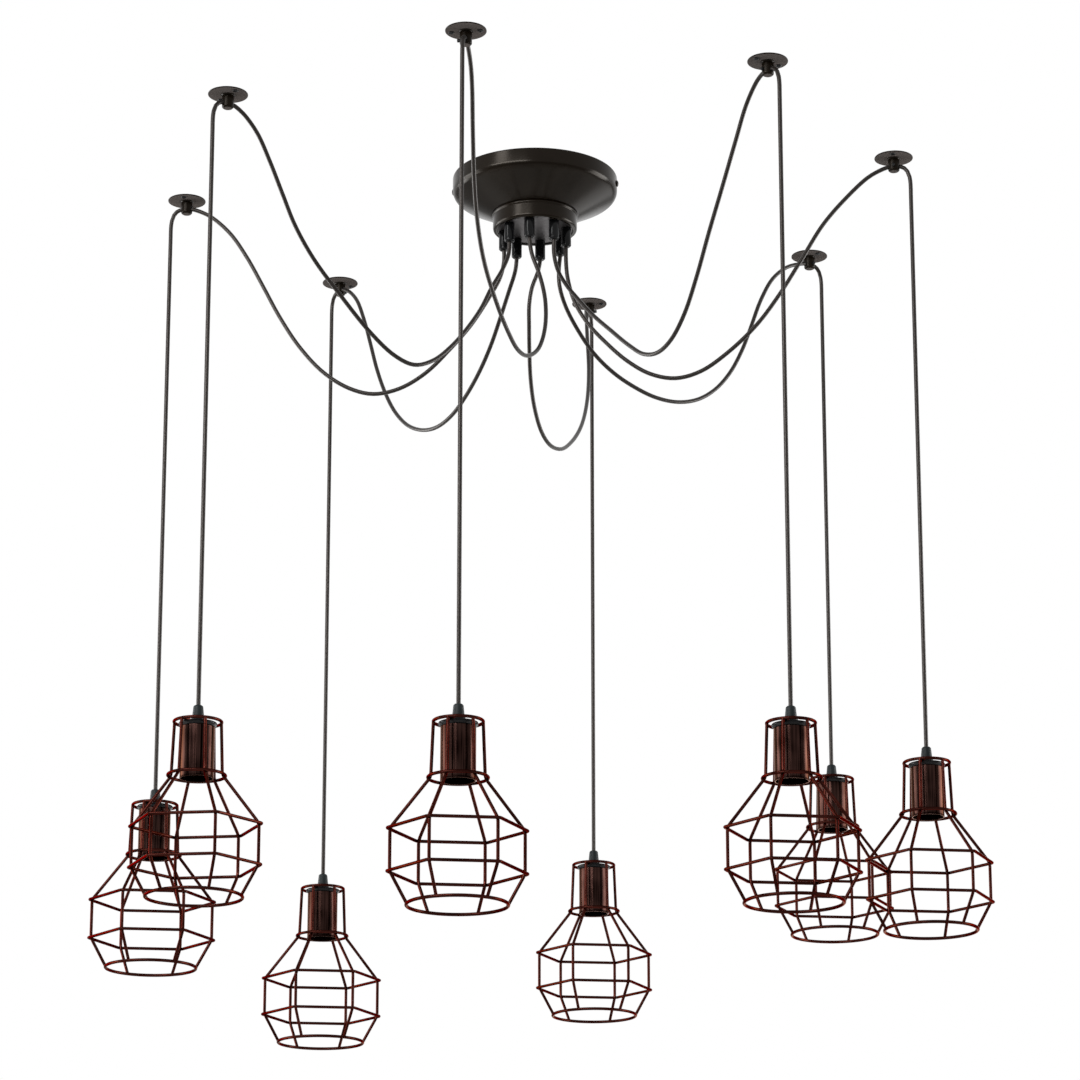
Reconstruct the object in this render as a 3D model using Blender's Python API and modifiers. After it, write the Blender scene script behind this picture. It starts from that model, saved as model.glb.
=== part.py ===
"""Cluster pendant light with eight caged heads.

A round ceiling canopy feeds eight cords. Each cord swags to its own ceiling clip, passes
through the clip's boss and hangs down to a lampholder in an open wire cage.

Metres, +Z up. The origin is the canopy's centre on the ceiling, so the light is below it.
A head's own frame has +X outward from the canopy's centre and is turned by the head's angle.
"""

import math

import bmesh
import bpy
from mathutils import Matrix, Vector

# Clearances
FIT_GAP = 0.0003
CORD_CLEARANCE = 0.0006
SWING_GAP = 0.0005
CUT_OVERRUN = 0.002
SHARP_ANGLE = math.radians(35.0)

# Cords
CORD_RADIUS = 0.0025
CORD_STEP = 0.022
CORD_SIDES_RESOLUTION = 2

# Canopy dish
CANOPY_RADIUS = 0.100
CANOPY_DEPTH = 0.046
CANOPY_WALL = 0.0014
RIM_HEIGHT = 0.016
RIM_FILLET = 0.005
CANOPY_FOOT_MARGIN = 0.0018
CANOPY_HOLE_RADIUS = 0.030
CANOPY_STEPS = 32

# Canopy hub
HUB_RADIUS = 0.0517
HUB_HEIGHT = 0.021
HUB_WALL = 0.003
HUB_FILLET = 0.004
HUB_RIM_WIDTH = 0.0065
HUB_RECESS_DEPTH = 0.0015

# Cord grips
GRIP_RIM_GAP = 0.00095
GRIP_RADIUS = 0.00625
GRIP_LENGTH = 0.024
GRIP_CHAMFER = 0.0015
GRIP_STEM_RADIUS = 0.0042
GRIP_NUT_RADIUS = 0.0075
GRIP_NUT_HEIGHT = 0.003
GRIP_STEPS = 12
CORD_TAIL = 0.020

# Crossbar and its rim screws
CROSSBAR_TURN = math.radians(-8.0)
CROSSBAR_WIDTH = 0.018
CROSSBAR_THICKNESS = 0.0015
CROSSBAR_END_GAP = 0.0018
CROSSBAR_TAB_HEIGHT = 0.017
CROSSBAR_SLOT_OFFSET = 0.035
CROSSBAR_SLOT_LENGTH = 0.020
CROSSBAR_SLOT_WIDTH = 0.005
RIM_SCREW_DROP = 0.011
RIM_SCREW_RADIUS = 0.002
RIM_SCREW_HEAD_RADIUS = 0.004
RIM_SCREW_HEAD_HEIGHT = 0.0022

# Terminal block
BLOCK_LENGTH = 0.046
BLOCK_WIDTH = 0.016
BLOCK_HEIGHT = 0.013
BLOCK_BEVEL = 0.001
BLOCK_POLES = 5
BLOCK_SLOT_WIDTH = 0.0015
BLOCK_SLOT_DEPTH = 0.004

# Ceiling clips
CLIP_RING_RADIUS = 0.436
PLATE_RADIUS = 0.023
PLATE_THICKNESS = 0.0015
BOSS_RADIUS = 0.0068
BOSS_LENGTH = 0.0165
CLIP_HOLE_DROP = 0.012
FIXING_OFFSET = 0.0165
FIXING_RADIUS = 0.0035
FIXING_HEIGHT = 0.0018
LOCK_SCREW_RADIUS = 0.0019
LOCK_SCREW_LENGTH = 0.0035
CLIP_STEPS = 16
SCREW_SIDES = 6
CORD_HOLE_SIDES = 8
DOME_SHARE = 0.6

# The cord's bend outside a clip, from the boss's axis down to where the straight drop starts
BEND_REACH = 0.0195
BEND_DROP = 0.046
BEND_SHARES = (
    (0.45, 0.007),
    (0.64, 0.048),
    (0.82, 0.14),
    (0.95, 0.30),
    (1.0, 0.52),
    (1.0, 0.76),
    (1.0, 1.0),
)

# Holder cap: strain relief, collar, disc and E27 socket, from the cage's top ring
RELIEF_HEIGHT = 0.0188
RELIEF_CHAMFER = 0.0026
RELIEF_TIP_RADIUS = 0.0054
RELIEF_BASE_RADIUS = 0.0067
CORD_SEAT_DEPTH = 0.012
COLLAR_HEIGHT = 0.0035
COLLAR_RADIUS = 0.0074
CAP_STEM_RADIUS = 0.0045
DISC_RADIUS = 0.0209
DISC_EDGE = 0.0022
DISC_TAPER = 0.0022
SOCKET_LENGTH = 0.047
SOCKET_BORE_RADIUS = 0.0136
SOCKET_BORE_DEPTH = 0.028
HOLDER_STEPS = 12

# Holder sleeve
SLEEVE_RADIUS = 0.0188
SLEEVE_WALL = 0.0015
SLEEVE_LENGTH = 0.058

# Wire cage, from its top ring down. A drawn wire has a diamond section, a little wider than the
# round wire's diameter, so that it holds nearly as much metal.
WIRE_DIAMETER = 0.0036
WIRE_WIDTH_SHARE = 1.15
STRUTS = 6
RING_SPLIT = 2
TOP_RING_RADIUS = 0.0265
NECK_RADIUS = 0.0305
NECK_DROP = 0.060
BELLY_RADIUS = 0.0732
SHOULDER_DROP = 0.115
WAIST_DROP = 0.160
MOUTH_RING_RADIUS = 0.053
MOUTH_DROP = 0.194
CAGE_TURN = math.radians(7.0)
STRAP_STRUT = 1
STRAP_WIDTH = 0.006
STRAP_THICKNESS = 0.0015
STRAP_EYE_RADIUS = 0.0100
STRAP_EYE_SIDES = 8

# One row for each head: the angle of its clip in degrees, the height of its cage's top ring,
# the side to which the cage is turned, and the swag's route. A route's points are the
# distance outward from the grip's axis, the distance to the left, and the height.
HEADS = (
    (260.0, -0.791, 1, (
        (0.001, 0.003, -0.111), (0.004, 0.013, -0.140), (0.011, 0.021, -0.174),
        (0.029, 0.024, -0.217), (0.050, 0.020, -0.250), (0.082, 0.012, -0.270),
        (0.111, 0.006, -0.272), (0.145, 0.001, -0.262), (0.190, -0.005, -0.240),
        (0.236, -0.010, -0.209), (0.270, -0.011, -0.175), (0.300, -0.009, -0.138),
        (0.330, -0.005, -0.092), (0.356, -0.001, -0.049), (0.369, 0.0, -0.030),
        (0.381, 0.0, -0.0175),
    )),
    (216.0, -0.747, -1, (
        (0.001, 0.0, -0.105), (0.010, 0.0, -0.127), (0.026, 0.0, -0.154),
        (0.042, 0.0, -0.185), (0.064, 0.0, -0.217), (0.086, 0.0, -0.243),
        (0.110, 0.0, -0.264), (0.137, 0.0, -0.275), (0.165, 0.0, -0.269),
        (0.200, 0.0, -0.247), (0.240, 0.0, -0.212), (0.278, 0.0, -0.175),
        (0.304, 0.0, -0.140), (0.322, 0.0, -0.105), (0.340, 0.0, -0.069),
        (0.358, 0.0, -0.038), (0.377, 0.0, -0.019),
    )),
    (307.0, -0.772, 1, (
        (0.0, 0.0, -0.107), (0.007, 0.0, -0.130), (0.024, 0.0, -0.155),
        (0.047, 0.0, -0.180), (0.075, 0.0, -0.208), (0.110, 0.0, -0.238),
        (0.145, 0.0, -0.267), (0.172, 0.0, -0.285), (0.198, 0.0, -0.290),
        (0.222, 0.0, -0.281), (0.246, 0.0, -0.257), (0.268, 0.0, -0.220),
        (0.291, 0.0, -0.173), (0.316, 0.0, -0.125), (0.340, 0.0, -0.078),
        (0.360, 0.0, -0.040), (0.379, 0.0, -0.018),
    )),
    (351.0, -0.747, 1, (
        (0.0, 0.0, -0.107), (0.002, 0.0, -0.130), (0.010, 0.0, -0.160),
        (0.026, 0.0, -0.189), (0.048, 0.0, -0.215), (0.074, 0.0, -0.240),
        (0.102, 0.0, -0.258), (0.132, 0.0, -0.265), (0.162, 0.0, -0.258),
        (0.195, 0.0, -0.236), (0.230, 0.0, -0.203), (0.258, 0.0, -0.166),
        (0.284, 0.0, -0.125), (0.312, 0.0, -0.080), (0.340, 0.0, -0.048),
        (0.366, 0.0, -0.024), (0.380, 0.0, -0.016),
    )),
    (171.0, -0.765, 1, (
        (0.0, 0.0, -0.104), (0.005, 0.0, -0.125), (0.018, 0.0, -0.149),
        (0.040, 0.0, -0.183), (0.066, 0.0, -0.213), (0.096, 0.0, -0.242),
        (0.128, 0.0, -0.260), (0.160, 0.0, -0.265), (0.190, 0.0, -0.256),
        (0.222, 0.0, -0.234), (0.252, 0.0, -0.200), (0.278, 0.0, -0.159),
        (0.298, 0.0, -0.121), (0.320, 0.0, -0.080), (0.342, 0.0, -0.047),
        (0.366, 0.0, -0.024), (0.380, 0.0, -0.016),
    )),
    (126.0, -0.807, 1, (
        (0.003, 0.0, -0.106), (0.016, 0.0, -0.128), (0.034, 0.0, -0.157),
        (0.054, 0.0, -0.187), (0.078, 0.0, -0.214), (0.106, 0.0, -0.237),
        (0.136, 0.0, -0.254), (0.168, 0.0, -0.261), (0.200, 0.0, -0.257),
        (0.234, 0.0, -0.242), (0.264, 0.0, -0.216), (0.288, 0.0, -0.183),
        (0.308, 0.0, -0.145), (0.323, 0.0, -0.108), (0.338, 0.0, -0.072),
        (0.357, 0.0, -0.037), (0.376, 0.0, -0.019),
    )),
    (80.5, -0.760, 1, (
        (0.0, 0.003, -0.106), (0.001, 0.010, -0.124), (0.003, 0.014, -0.146),
        (0.008, 0.015, -0.172), (0.016, 0.016, -0.200), (0.031, 0.017, -0.232),
        (0.051, 0.016, -0.260), (0.078, 0.012, -0.283), (0.108, 0.006, -0.292),
        (0.142, -0.002, -0.287), (0.187, -0.009, -0.263), (0.235, -0.014, -0.226),
        (0.284, -0.014, -0.176), (0.325, -0.010, -0.119), (0.352, -0.004, -0.064),
        (0.367, -0.001, -0.036), (0.380, 0.0, -0.0185),
    )),
    (36.0, -0.689, 1, (
        (-0.002, 0.0, -0.108), (-0.001, 0.0, -0.130), (0.008, 0.0, -0.154),
        (0.026, 0.0, -0.180), (0.050, 0.0, -0.205), (0.080, 0.0, -0.224),
        (0.112, 0.0, -0.236), (0.146, 0.0, -0.243), (0.180, 0.0, -0.242),
        (0.212, 0.0, -0.232), (0.240, 0.0, -0.213), (0.264, 0.0, -0.186),
        (0.284, 0.0, -0.152), (0.299, 0.0, -0.118), (0.316, 0.0, -0.078),
        (0.336, 0.0, -0.045), (0.360, 0.0, -0.024), (0.378, 0.0, -0.016),
    )),
)

# Radii and heights that several pieces share
CANOPY_FOOT_RADIUS = HUB_RADIUS + CANOPY_FOOT_MARGIN
HUB_RECESS_RADIUS = HUB_RADIUS - HUB_RIM_WIDTH
GRIP_RING_RADIUS = HUB_RECESS_RADIUS - GRIP_RIM_GAP - GRIP_RADIUS
HUB_TOP = -(CANOPY_DEPTH + FIT_GAP)
HUB_BOTTOM = HUB_TOP - HUB_HEIGHT
HUB_FLOOR_BOTTOM = HUB_BOTTOM + HUB_RECESS_DEPTH
HUB_FLOOR_TOP = HUB_FLOOR_BOTTOM + HUB_WALL
GRIP_TOP = HUB_FLOOR_BOTTOM - FIT_GAP
GRIP_BOTTOM = GRIP_TOP - GRIP_LENGTH
CORD_HOLE_RADIUS = CORD_RADIUS + CORD_CLEARANCE
BEND_BOTTOM = -(CLIP_HOLE_DROP + BEND_DROP)
DROP_TOP = BEND_BOTTOM - SWING_GAP
STRAP_HALF = STRAP_THICKNESS / 2
DISC_TOP = -(STRAP_HALF + FIT_GAP)
DISC_BOTTOM = DISC_TOP - DISC_EDGE - DISC_TAPER
SOCKET_BOTTOM = DISC_BOTTOM - SOCKET_LENGTH
SLEEVE_TOP = DISC_BOTTOM - FIT_GAP
SLEEVE_BORE_RADIUS = SLEEVE_RADIUS - SLEEVE_WALL
CORD_SEAT = RELIEF_HEIGHT - CORD_SEAT_DEPTH


def clear_scene():
    for obj in list(bpy.data.objects):
        bpy.data.objects.remove(obj, do_unlink=True)


def new_collection(name):
    collection = bpy.data.collections.new(name)
    bpy.context.scene.collection.children.link(collection)
    return collection


def new_material(name, colour, roughness, metallic):
    material = bpy.data.materials.new(name)
    material.use_nodes = True
    shader = material.node_tree.nodes["Principled BSDF"]
    shader.inputs["Base Color"].default_value = (*colour, 1.0)
    shader.inputs["Roughness"].default_value = roughness
    shader.inputs["Metallic"].default_value = metallic
    return material


def add_object(name, mesh, collection, material=None, matrix=None):
    obj = bpy.data.objects.new(name, mesh)
    collection.objects.link(obj)
    if material is not None:
        obj.data.materials.clear()
        obj.data.materials.append(material)
    if matrix is not None:
        obj.matrix_world = matrix
    return obj


def baked_mesh(obj, name):
    """A new mesh of the object as its modifiers leave it. The object itself is removed."""
    bpy.context.view_layer.update()
    graph = bpy.context.evaluated_depsgraph_get()
    mesh = bpy.data.meshes.new_from_object(obj.evaluated_get(graph))
    mesh.name = name
    mesh.transform(obj.matrix_world)
    work = bmesh.new()
    work.from_mesh(mesh)
    bmesh.ops.remove_doubles(work, verts=work.verts, dist=FIT_GAP / 10)
    work.to_mesh(mesh)
    work.free()
    mesh.shade_smooth()
    mesh.set_sharp_from_angle(angle=SHARP_ANGLE)
    bpy.data.objects.remove(obj, do_unlink=True)
    return mesh


def turned(name, profile, steps, collection, closed=False):
    """A profile of (radius, height) points turned about Z. It runs down the outer side."""
    mesh = bpy.data.meshes.new(name)
    count = len(profile)
    edges = [(i, i + 1) for i in range(count - 1)]
    if closed:
        edges.append((count - 1, 0))
    mesh.from_pydata([(radius, 0, height) for radius, height in profile], edges, [])
    obj = add_object(name, mesh, collection)
    screw = obj.modifiers.new("turn", "SCREW")
    screw.steps = steps
    screw.render_steps = steps
    screw.use_merge_vertices = True
    screw.merge_threshold = 0.0001
    screw.use_smooth_shade = True
    return obj


def tube(name, points, radius, sides_resolution, collection, closed=False):
    """A wire or cord along the points, as a curve object with filled caps."""
    curve = bpy.data.curves.new(name, "CURVE")
    curve.dimensions = "3D"
    curve.bevel_depth = radius
    curve.bevel_resolution = sides_resolution
    curve.use_fill_caps = True
    spline = curve.splines.new("POLY")
    spline.points.add(len(points) - 1)
    for place, point in zip(spline.points, points):
        place.co = (*point, 1.0)
    spline.use_cyclic_u = closed
    return add_object(name, curve, collection)


def box(name, size, centre, collection):
    mesh = bpy.data.meshes.new(name)
    work = bmesh.new()
    place = Matrix.Translation(centre) @ Matrix.Diagonal((*size, 1.0))
    bmesh.ops.create_cube(work, size=1.0, matrix=place)
    work.to_mesh(mesh)
    work.free()
    return add_object(name, mesh, collection)


def rod(name, radius, start, end, sides, collection):
    """A plain cylinder from one point to another."""
    start = Vector(start)
    along = Vector(end) - start
    mesh = bpy.data.meshes.new(name)
    work = bmesh.new()
    turn = along.to_track_quat("Z", "Y").to_matrix().to_4x4()
    place = Matrix.Translation(start + along / 2) @ turn
    bmesh.ops.create_cone(
        work, cap_ends=True, segments=sides, radius1=radius, radius2=radius,
        depth=along.length, matrix=place,
    )
    work.to_mesh(mesh)
    work.free()
    return add_object(name, mesh, collection)


def dome(name, radius, height, start, direction, collection):
    """A screw head: a short cone frustum standing on its wide face."""
    direction = Vector(direction)
    mesh = bpy.data.meshes.new(name)
    work = bmesh.new()
    turn = direction.to_track_quat("Z", "Y").to_matrix().to_4x4()
    place = Matrix.Translation(Vector(start) + direction * height / 2) @ turn
    bmesh.ops.create_cone(
        work, cap_ends=True, segments=SCREW_SIDES, radius1=radius, radius2=radius * DOME_SHARE,
        depth=height, matrix=place,
    )
    work.to_mesh(mesh)
    work.free()
    return add_object(name, mesh, collection)


def as_helper(obj):
    obj.hide_render = True
    obj.display_type = "WIRE"
    return obj


def combine(target, others, operation):
    for other in others:
        modifier = target.modifiers.new(other.name, "BOOLEAN")
        modifier.operation = operation
        modifier.object = as_helper(other)


def remove(objects):
    for obj in objects:
        bpy.data.objects.remove(obj, do_unlink=True)


def head_matrix(angle, radius=0.0, height=0.0):
    turn = Matrix.Rotation(math.radians(angle), 4, "Z")
    return turn @ Matrix.Translation((radius, 0, height))


def smooth_curve(points, step):
    """Points of a centripetal Catmull-Rom curve through the given points, about a step apart."""
    places = [Vector(point) for point in points]
    before = places[0] * 2 - places[1]
    after = places[-1] * 2 - places[-2]
    padded = [before, *places, after]
    result = []
    for i in range(1, len(padded) - 2):
        p0, p1, p2, p3 = padded[i - 1:i + 3]
        knots = [0.0]
        for a, b in ((p0, p1), (p1, p2), (p2, p3)):
            knots.append(knots[-1] + math.sqrt((b - a).length))
        count = max(1, round((p2 - p1).length / step))
        for j in range(count):
            t = knots[1] + (knots[2] - knots[1]) * j / count
            result.append(catmull_rom(p0, p1, p2, p3, knots, t))
    result.append(places[-1])
    return result


def catmull_rom(p0, p1, p2, p3, knots, t):
    def between(a, b, low, high):
        share = (t - low) / (high - low)
        return a * (1 - share) + b * share

    k0, k1, k2, k3 = knots
    a1 = between(p0, p1, k0, k1)
    a2 = between(p1, p2, k1, k2)
    a3 = between(p2, p3, k2, k3)
    b1 = between(a1, a2, k0, k2)
    b2 = between(a2, a3, k1, k3)
    return between(b1, b2, k1, k2)


def canopy_dish(collection, cutters, material):
    """An open pressed shell: rim, rounded corner, sloping underside and a central hole."""
    corner = [
        (
            CANOPY_RADIUS - RIM_FILLET * (1 - math.cos(turn)),
            -(RIM_HEIGHT + RIM_FILLET * math.sin(turn)),
        )
        for turn in (0, math.radians(30), math.radians(60))
    ]
    inner_corner = [(radius - CANOPY_WALL, height) for radius, height in reversed(corner)]
    profile = [
        (CANOPY_RADIUS, 0),
        *corner,
        (CANOPY_FOOT_RADIUS, -CANOPY_DEPTH),
        (CANOPY_HOLE_RADIUS, -CANOPY_DEPTH),
        (CANOPY_HOLE_RADIUS, CANOPY_WALL - CANOPY_DEPTH),
        (CANOPY_FOOT_RADIUS, CANOPY_WALL - CANOPY_DEPTH),
        *inner_corner,
        (CANOPY_RADIUS - CANOPY_WALL, 0),
    ]
    dish = turned("dish", profile, CANOPY_STEPS, cutters, closed=True)
    reach = CANOPY_RADIUS + CUT_OVERRUN
    along = Vector((math.cos(CROSSBAR_TURN), math.sin(CROSSBAR_TURN), 0))
    level = Vector((0, 0, -RIM_SCREW_DROP))
    holes = [
        rod(
            f"rim_screw_hole_{side}", RIM_SCREW_RADIUS + FIT_GAP,
            along * side * (CANOPY_RADIUS - CANOPY_WALL - CUT_OVERRUN) + level,
            along * side * reach + level, SCREW_SIDES, cutters,
        )
        for side in (-1, 1)
    ]
    combine(dish, holes, "DIFFERENCE")
    mesh = baked_mesh(dish, "canopy_dish")
    remove(holes)
    return add_object("canopy_dish", mesh, collection, material)


def canopy_hub(collection, cutters, material):
    """A cup with a rounded lower edge and a recessed floor that carries the cord grips."""
    corner = [
        (
            HUB_RADIUS - HUB_FILLET * (1 - math.cos(turn)),
            HUB_BOTTOM + HUB_FILLET * (1 - math.sin(turn)),
        )
        for turn in (0, math.radians(45), math.radians(90))
    ]
    profile = [
        (HUB_RADIUS, HUB_TOP),
        *corner,
        (HUB_RECESS_RADIUS, HUB_BOTTOM),
        (HUB_RECESS_RADIUS, HUB_FLOOR_BOTTOM),
        (0, HUB_FLOOR_BOTTOM),
        (0, HUB_FLOOR_TOP),
        (HUB_RADIUS - HUB_WALL, HUB_FLOOR_TOP),
        (HUB_RADIUS - HUB_WALL, HUB_TOP),
    ]
    # The axis edge would turn into nothing, so the loop is open there.
    split = profile.index((0, HUB_FLOOR_TOP))
    loop = profile[split:] + profile[:split]
    hub = turned("hub", loop, CANOPY_STEPS, cutters)
    holes = []
    for number, (angle, _, _, _) in enumerate(HEADS, 1):
        hole = rod(
            f"grip_hole_{number}", GRIP_STEM_RADIUS + FIT_GAP,
            (0, 0, HUB_FLOOR_BOTTOM - CUT_OVERRUN), (0, 0, HUB_FLOOR_TOP + CUT_OVERRUN),
            GRIP_STEPS, cutters,
        )
        hole.matrix_world = head_matrix(angle, GRIP_RING_RADIUS)
        holes.append(hole)
    combine(hub, holes, "DIFFERENCE")
    mesh = baked_mesh(hub, "canopy_hub")
    remove(holes)
    return add_object("canopy_hub", mesh, collection, material)


def strap(name, reach, collection):
    """The bent flat bar as one outline, given its width along Y."""
    inner = reach - CROSSBAR_THICKNESS
    outline = [
        (-reach, 0), (-reach, -CROSSBAR_TAB_HEIGHT), (-inner, -CROSSBAR_TAB_HEIGHT),
        (-inner, -CROSSBAR_THICKNESS), (inner, -CROSSBAR_THICKNESS),
        (inner, -CROSSBAR_TAB_HEIGHT), (reach, -CROSSBAR_TAB_HEIGHT), (reach, 0),
    ]
    half = CROSSBAR_WIDTH / 2
    count = len(outline)
    points = [(x, side * half, z) for side in (-1, 1) for x, z in outline]
    sides = [
        (i, i + count, (i + 1) % count + count, (i + 1) % count) for i in range(count)
    ]
    ends = [tuple(range(count)), tuple(reversed(range(count, 2 * count)))]
    mesh = bpy.data.meshes.new(name)
    mesh.from_pydata(points, [], sides + ends)
    return add_object(name, mesh, collection)


def crossbar(collection, cutters, material):
    """A strap with two turned-down tabs. Each tab carries a rim screw."""
    reach = CANOPY_RADIUS - CANOPY_WALL - CROSSBAR_END_GAP
    turn = Matrix.Rotation(CROSSBAR_TURN, 4, "Z")
    bar = strap("crossbar_blank", reach, cutters)
    extras = []
    slots = []
    for side in (-1, 1):
        extras.append(rod(
            f"rim_screw_{side}", RIM_SCREW_RADIUS,
            (side * (reach - CROSSBAR_THICKNESS - CUT_OVERRUN), 0, -RIM_SCREW_DROP),
            (side * (CANOPY_RADIUS + FIT_GAP + RIM_SCREW_HEAD_HEIGHT / 2), 0, -RIM_SCREW_DROP),
            SCREW_SIDES, cutters,
        ))
        extras.append(dome(
            f"rim_screw_head_{side}", RIM_SCREW_HEAD_RADIUS, RIM_SCREW_HEAD_HEIGHT,
            (side * (CANOPY_RADIUS + FIT_GAP), 0, -RIM_SCREW_DROP), (side, 0, 0), cutters,
        ))
        slots.append(box(
            f"slot_{side}",
            (CROSSBAR_SLOT_LENGTH, CROSSBAR_SLOT_WIDTH, CROSSBAR_THICKNESS + 2 * CUT_OVERRUN),
            (side * CROSSBAR_SLOT_OFFSET, 0, -CROSSBAR_THICKNESS / 2), cutters,
        ))
    combine(bar, extras, "UNION")
    combine(bar, slots, "DIFFERENCE")
    mesh = baked_mesh(bar, "crossbar")
    remove(extras + slots)
    return add_object("crossbar", mesh, collection, material, turn)


def terminal_block(collection, cutters, material):
    """A moulded block under the crossbar, with a slot between its poles."""
    top = -(CROSSBAR_THICKNESS + FIT_GAP)
    turn = Matrix.Rotation(CROSSBAR_TURN, 4, "Z")
    block = box(
        "block_blank", (BLOCK_LENGTH, BLOCK_WIDTH, BLOCK_HEIGHT),
        (0, 0, top - BLOCK_HEIGHT / 2), cutters,
    )
    bevel = block.modifiers.new("edges", "BEVEL")
    bevel.width = BLOCK_BEVEL
    bevel.segments = 1
    pitch = BLOCK_LENGTH / BLOCK_POLES
    slots = [
        box(
            f"pole_slot_{i}",
            (BLOCK_SLOT_WIDTH, BLOCK_WIDTH + 2 * CUT_OVERRUN, BLOCK_SLOT_DEPTH + CUT_OVERRUN),
            (
                (i - BLOCK_POLES / 2) * pitch,
                0,
                top - BLOCK_HEIGHT + (BLOCK_SLOT_DEPTH - CUT_OVERRUN) / 2,
            ),
            cutters,
        )
        for i in range(1, BLOCK_POLES)
    ]
    combine(block, slots, "DIFFERENCE")
    mesh = baked_mesh(block, "terminal_block")
    remove(slots)
    return add_object("terminal_block", mesh, collection, material, turn)


def grip_mesh(cutters):
    """A cord grip: nut, threaded stem through the hub's floor, and body with a chamfered end."""
    nut_low = HUB_FLOOR_TOP + FIT_GAP
    profile = [
        (CORD_HOLE_RADIUS, nut_low + GRIP_NUT_HEIGHT),
        (GRIP_NUT_RADIUS, nut_low + GRIP_NUT_HEIGHT),
        (GRIP_NUT_RADIUS, nut_low),
        (GRIP_STEM_RADIUS, nut_low),
        (GRIP_STEM_RADIUS, GRIP_TOP),
        (GRIP_RADIUS, GRIP_TOP),
        (GRIP_RADIUS, GRIP_BOTTOM + GRIP_CHAMFER),
        (GRIP_RADIUS - GRIP_CHAMFER, GRIP_BOTTOM),
        (CORD_HOLE_RADIUS, GRIP_BOTTOM),
    ]
    return baked_mesh(turned("grip", profile, GRIP_STEPS, cutters, closed=True), "cord_grip")


def clip_mesh(cutters):
    """A ceiling clip: plate, boss with a cross hole, two fixing screws and a locking screw."""
    boss_bottom = -(PLATE_THICKNESS + BOSS_LENGTH)
    profile = [
        (0, 0),
        (PLATE_RADIUS, 0),
        (PLATE_RADIUS, -PLATE_THICKNESS),
        (BOSS_RADIUS, -PLATE_THICKNESS),
        (BOSS_RADIUS, boss_bottom),
        (0, boss_bottom),
    ]
    clip = turned("clip", profile, CLIP_STEPS, cutters)
    reach = BOSS_RADIUS + CUT_OVERRUN
    hole = rod(
        "clip_hole", CORD_HOLE_RADIUS, (-reach, 0, -CLIP_HOLE_DROP), (reach, 0, -CLIP_HOLE_DROP),
        CORD_HOLE_SIDES, cutters,
    )
    heads = [
        dome(
            f"fixing_{side}", FIXING_RADIUS, FIXING_HEIGHT,
            (0, side * FIXING_OFFSET, FIT_GAP - PLATE_THICKNESS), (0, 0, -1), cutters,
        )
        for side in (-1, 1)
    ]
    lock = rod(
        "lock_screw", LOCK_SCREW_RADIUS, (0, -CORD_HOLE_RADIUS - FIT_GAP, -CLIP_HOLE_DROP),
        (0, -(BOSS_RADIUS + LOCK_SCREW_LENGTH), -CLIP_HOLE_DROP), SCREW_SIDES, cutters,
    )
    combine(clip, [*heads, lock], "UNION")
    combine(clip, [hole], "DIFFERENCE")
    mesh = baked_mesh(clip, "ceiling_clip")
    remove([hole, lock, *heads])
    return mesh


def cap_mesh(cutters):
    """Strain relief, collar, disc and E27 socket in one turned piece, with a bore at each end."""
    collar_low = STRAP_HALF + FIT_GAP
    collar_high = collar_low + COLLAR_HEIGHT
    profile = [
        (0, CORD_SEAT),
        (CORD_HOLE_RADIUS, CORD_SEAT),
        (CORD_HOLE_RADIUS, RELIEF_HEIGHT),
        (RELIEF_TIP_RADIUS - RELIEF_CHAMFER / 2, RELIEF_HEIGHT),
        (RELIEF_TIP_RADIUS, RELIEF_HEIGHT - RELIEF_CHAMFER),
        (RELIEF_BASE_RADIUS, collar_high),
        (COLLAR_RADIUS, collar_high),
        (COLLAR_RADIUS, collar_low),
        (CAP_STEM_RADIUS, collar_low),
        (CAP_STEM_RADIUS, DISC_TOP),
        (DISC_RADIUS, DISC_TOP),
        (DISC_RADIUS, DISC_TOP - DISC_EDGE),
        (SLEEVE_RADIUS, DISC_BOTTOM),
        (SLEEVE_BORE_RADIUS - FIT_GAP, DISC_BOTTOM),
        (SLEEVE_BORE_RADIUS - FIT_GAP, SOCKET_BOTTOM),
        (SOCKET_BORE_RADIUS, SOCKET_BOTTOM),
        (SOCKET_BORE_RADIUS, SOCKET_BOTTOM + SOCKET_BORE_DEPTH),
        (0, SOCKET_BOTTOM + SOCKET_BORE_DEPTH),
    ]
    return baked_mesh(turned("cap", profile, HOLDER_STEPS, cutters), "holder_cap")


def sleeve_mesh(cutters):
    bottom = SLEEVE_TOP - SLEEVE_LENGTH
    profile = [
        (SLEEVE_RADIUS, SLEEVE_TOP),
        (SLEEVE_RADIUS, bottom),
        (SLEEVE_BORE_RADIUS, bottom),
        (SLEEVE_BORE_RADIUS, SLEEVE_TOP),
    ]
    sleeve = turned("sleeve", profile, HOLDER_STEPS, cutters, closed=True)
    return baked_mesh(sleeve, "holder_sleeve")


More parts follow.
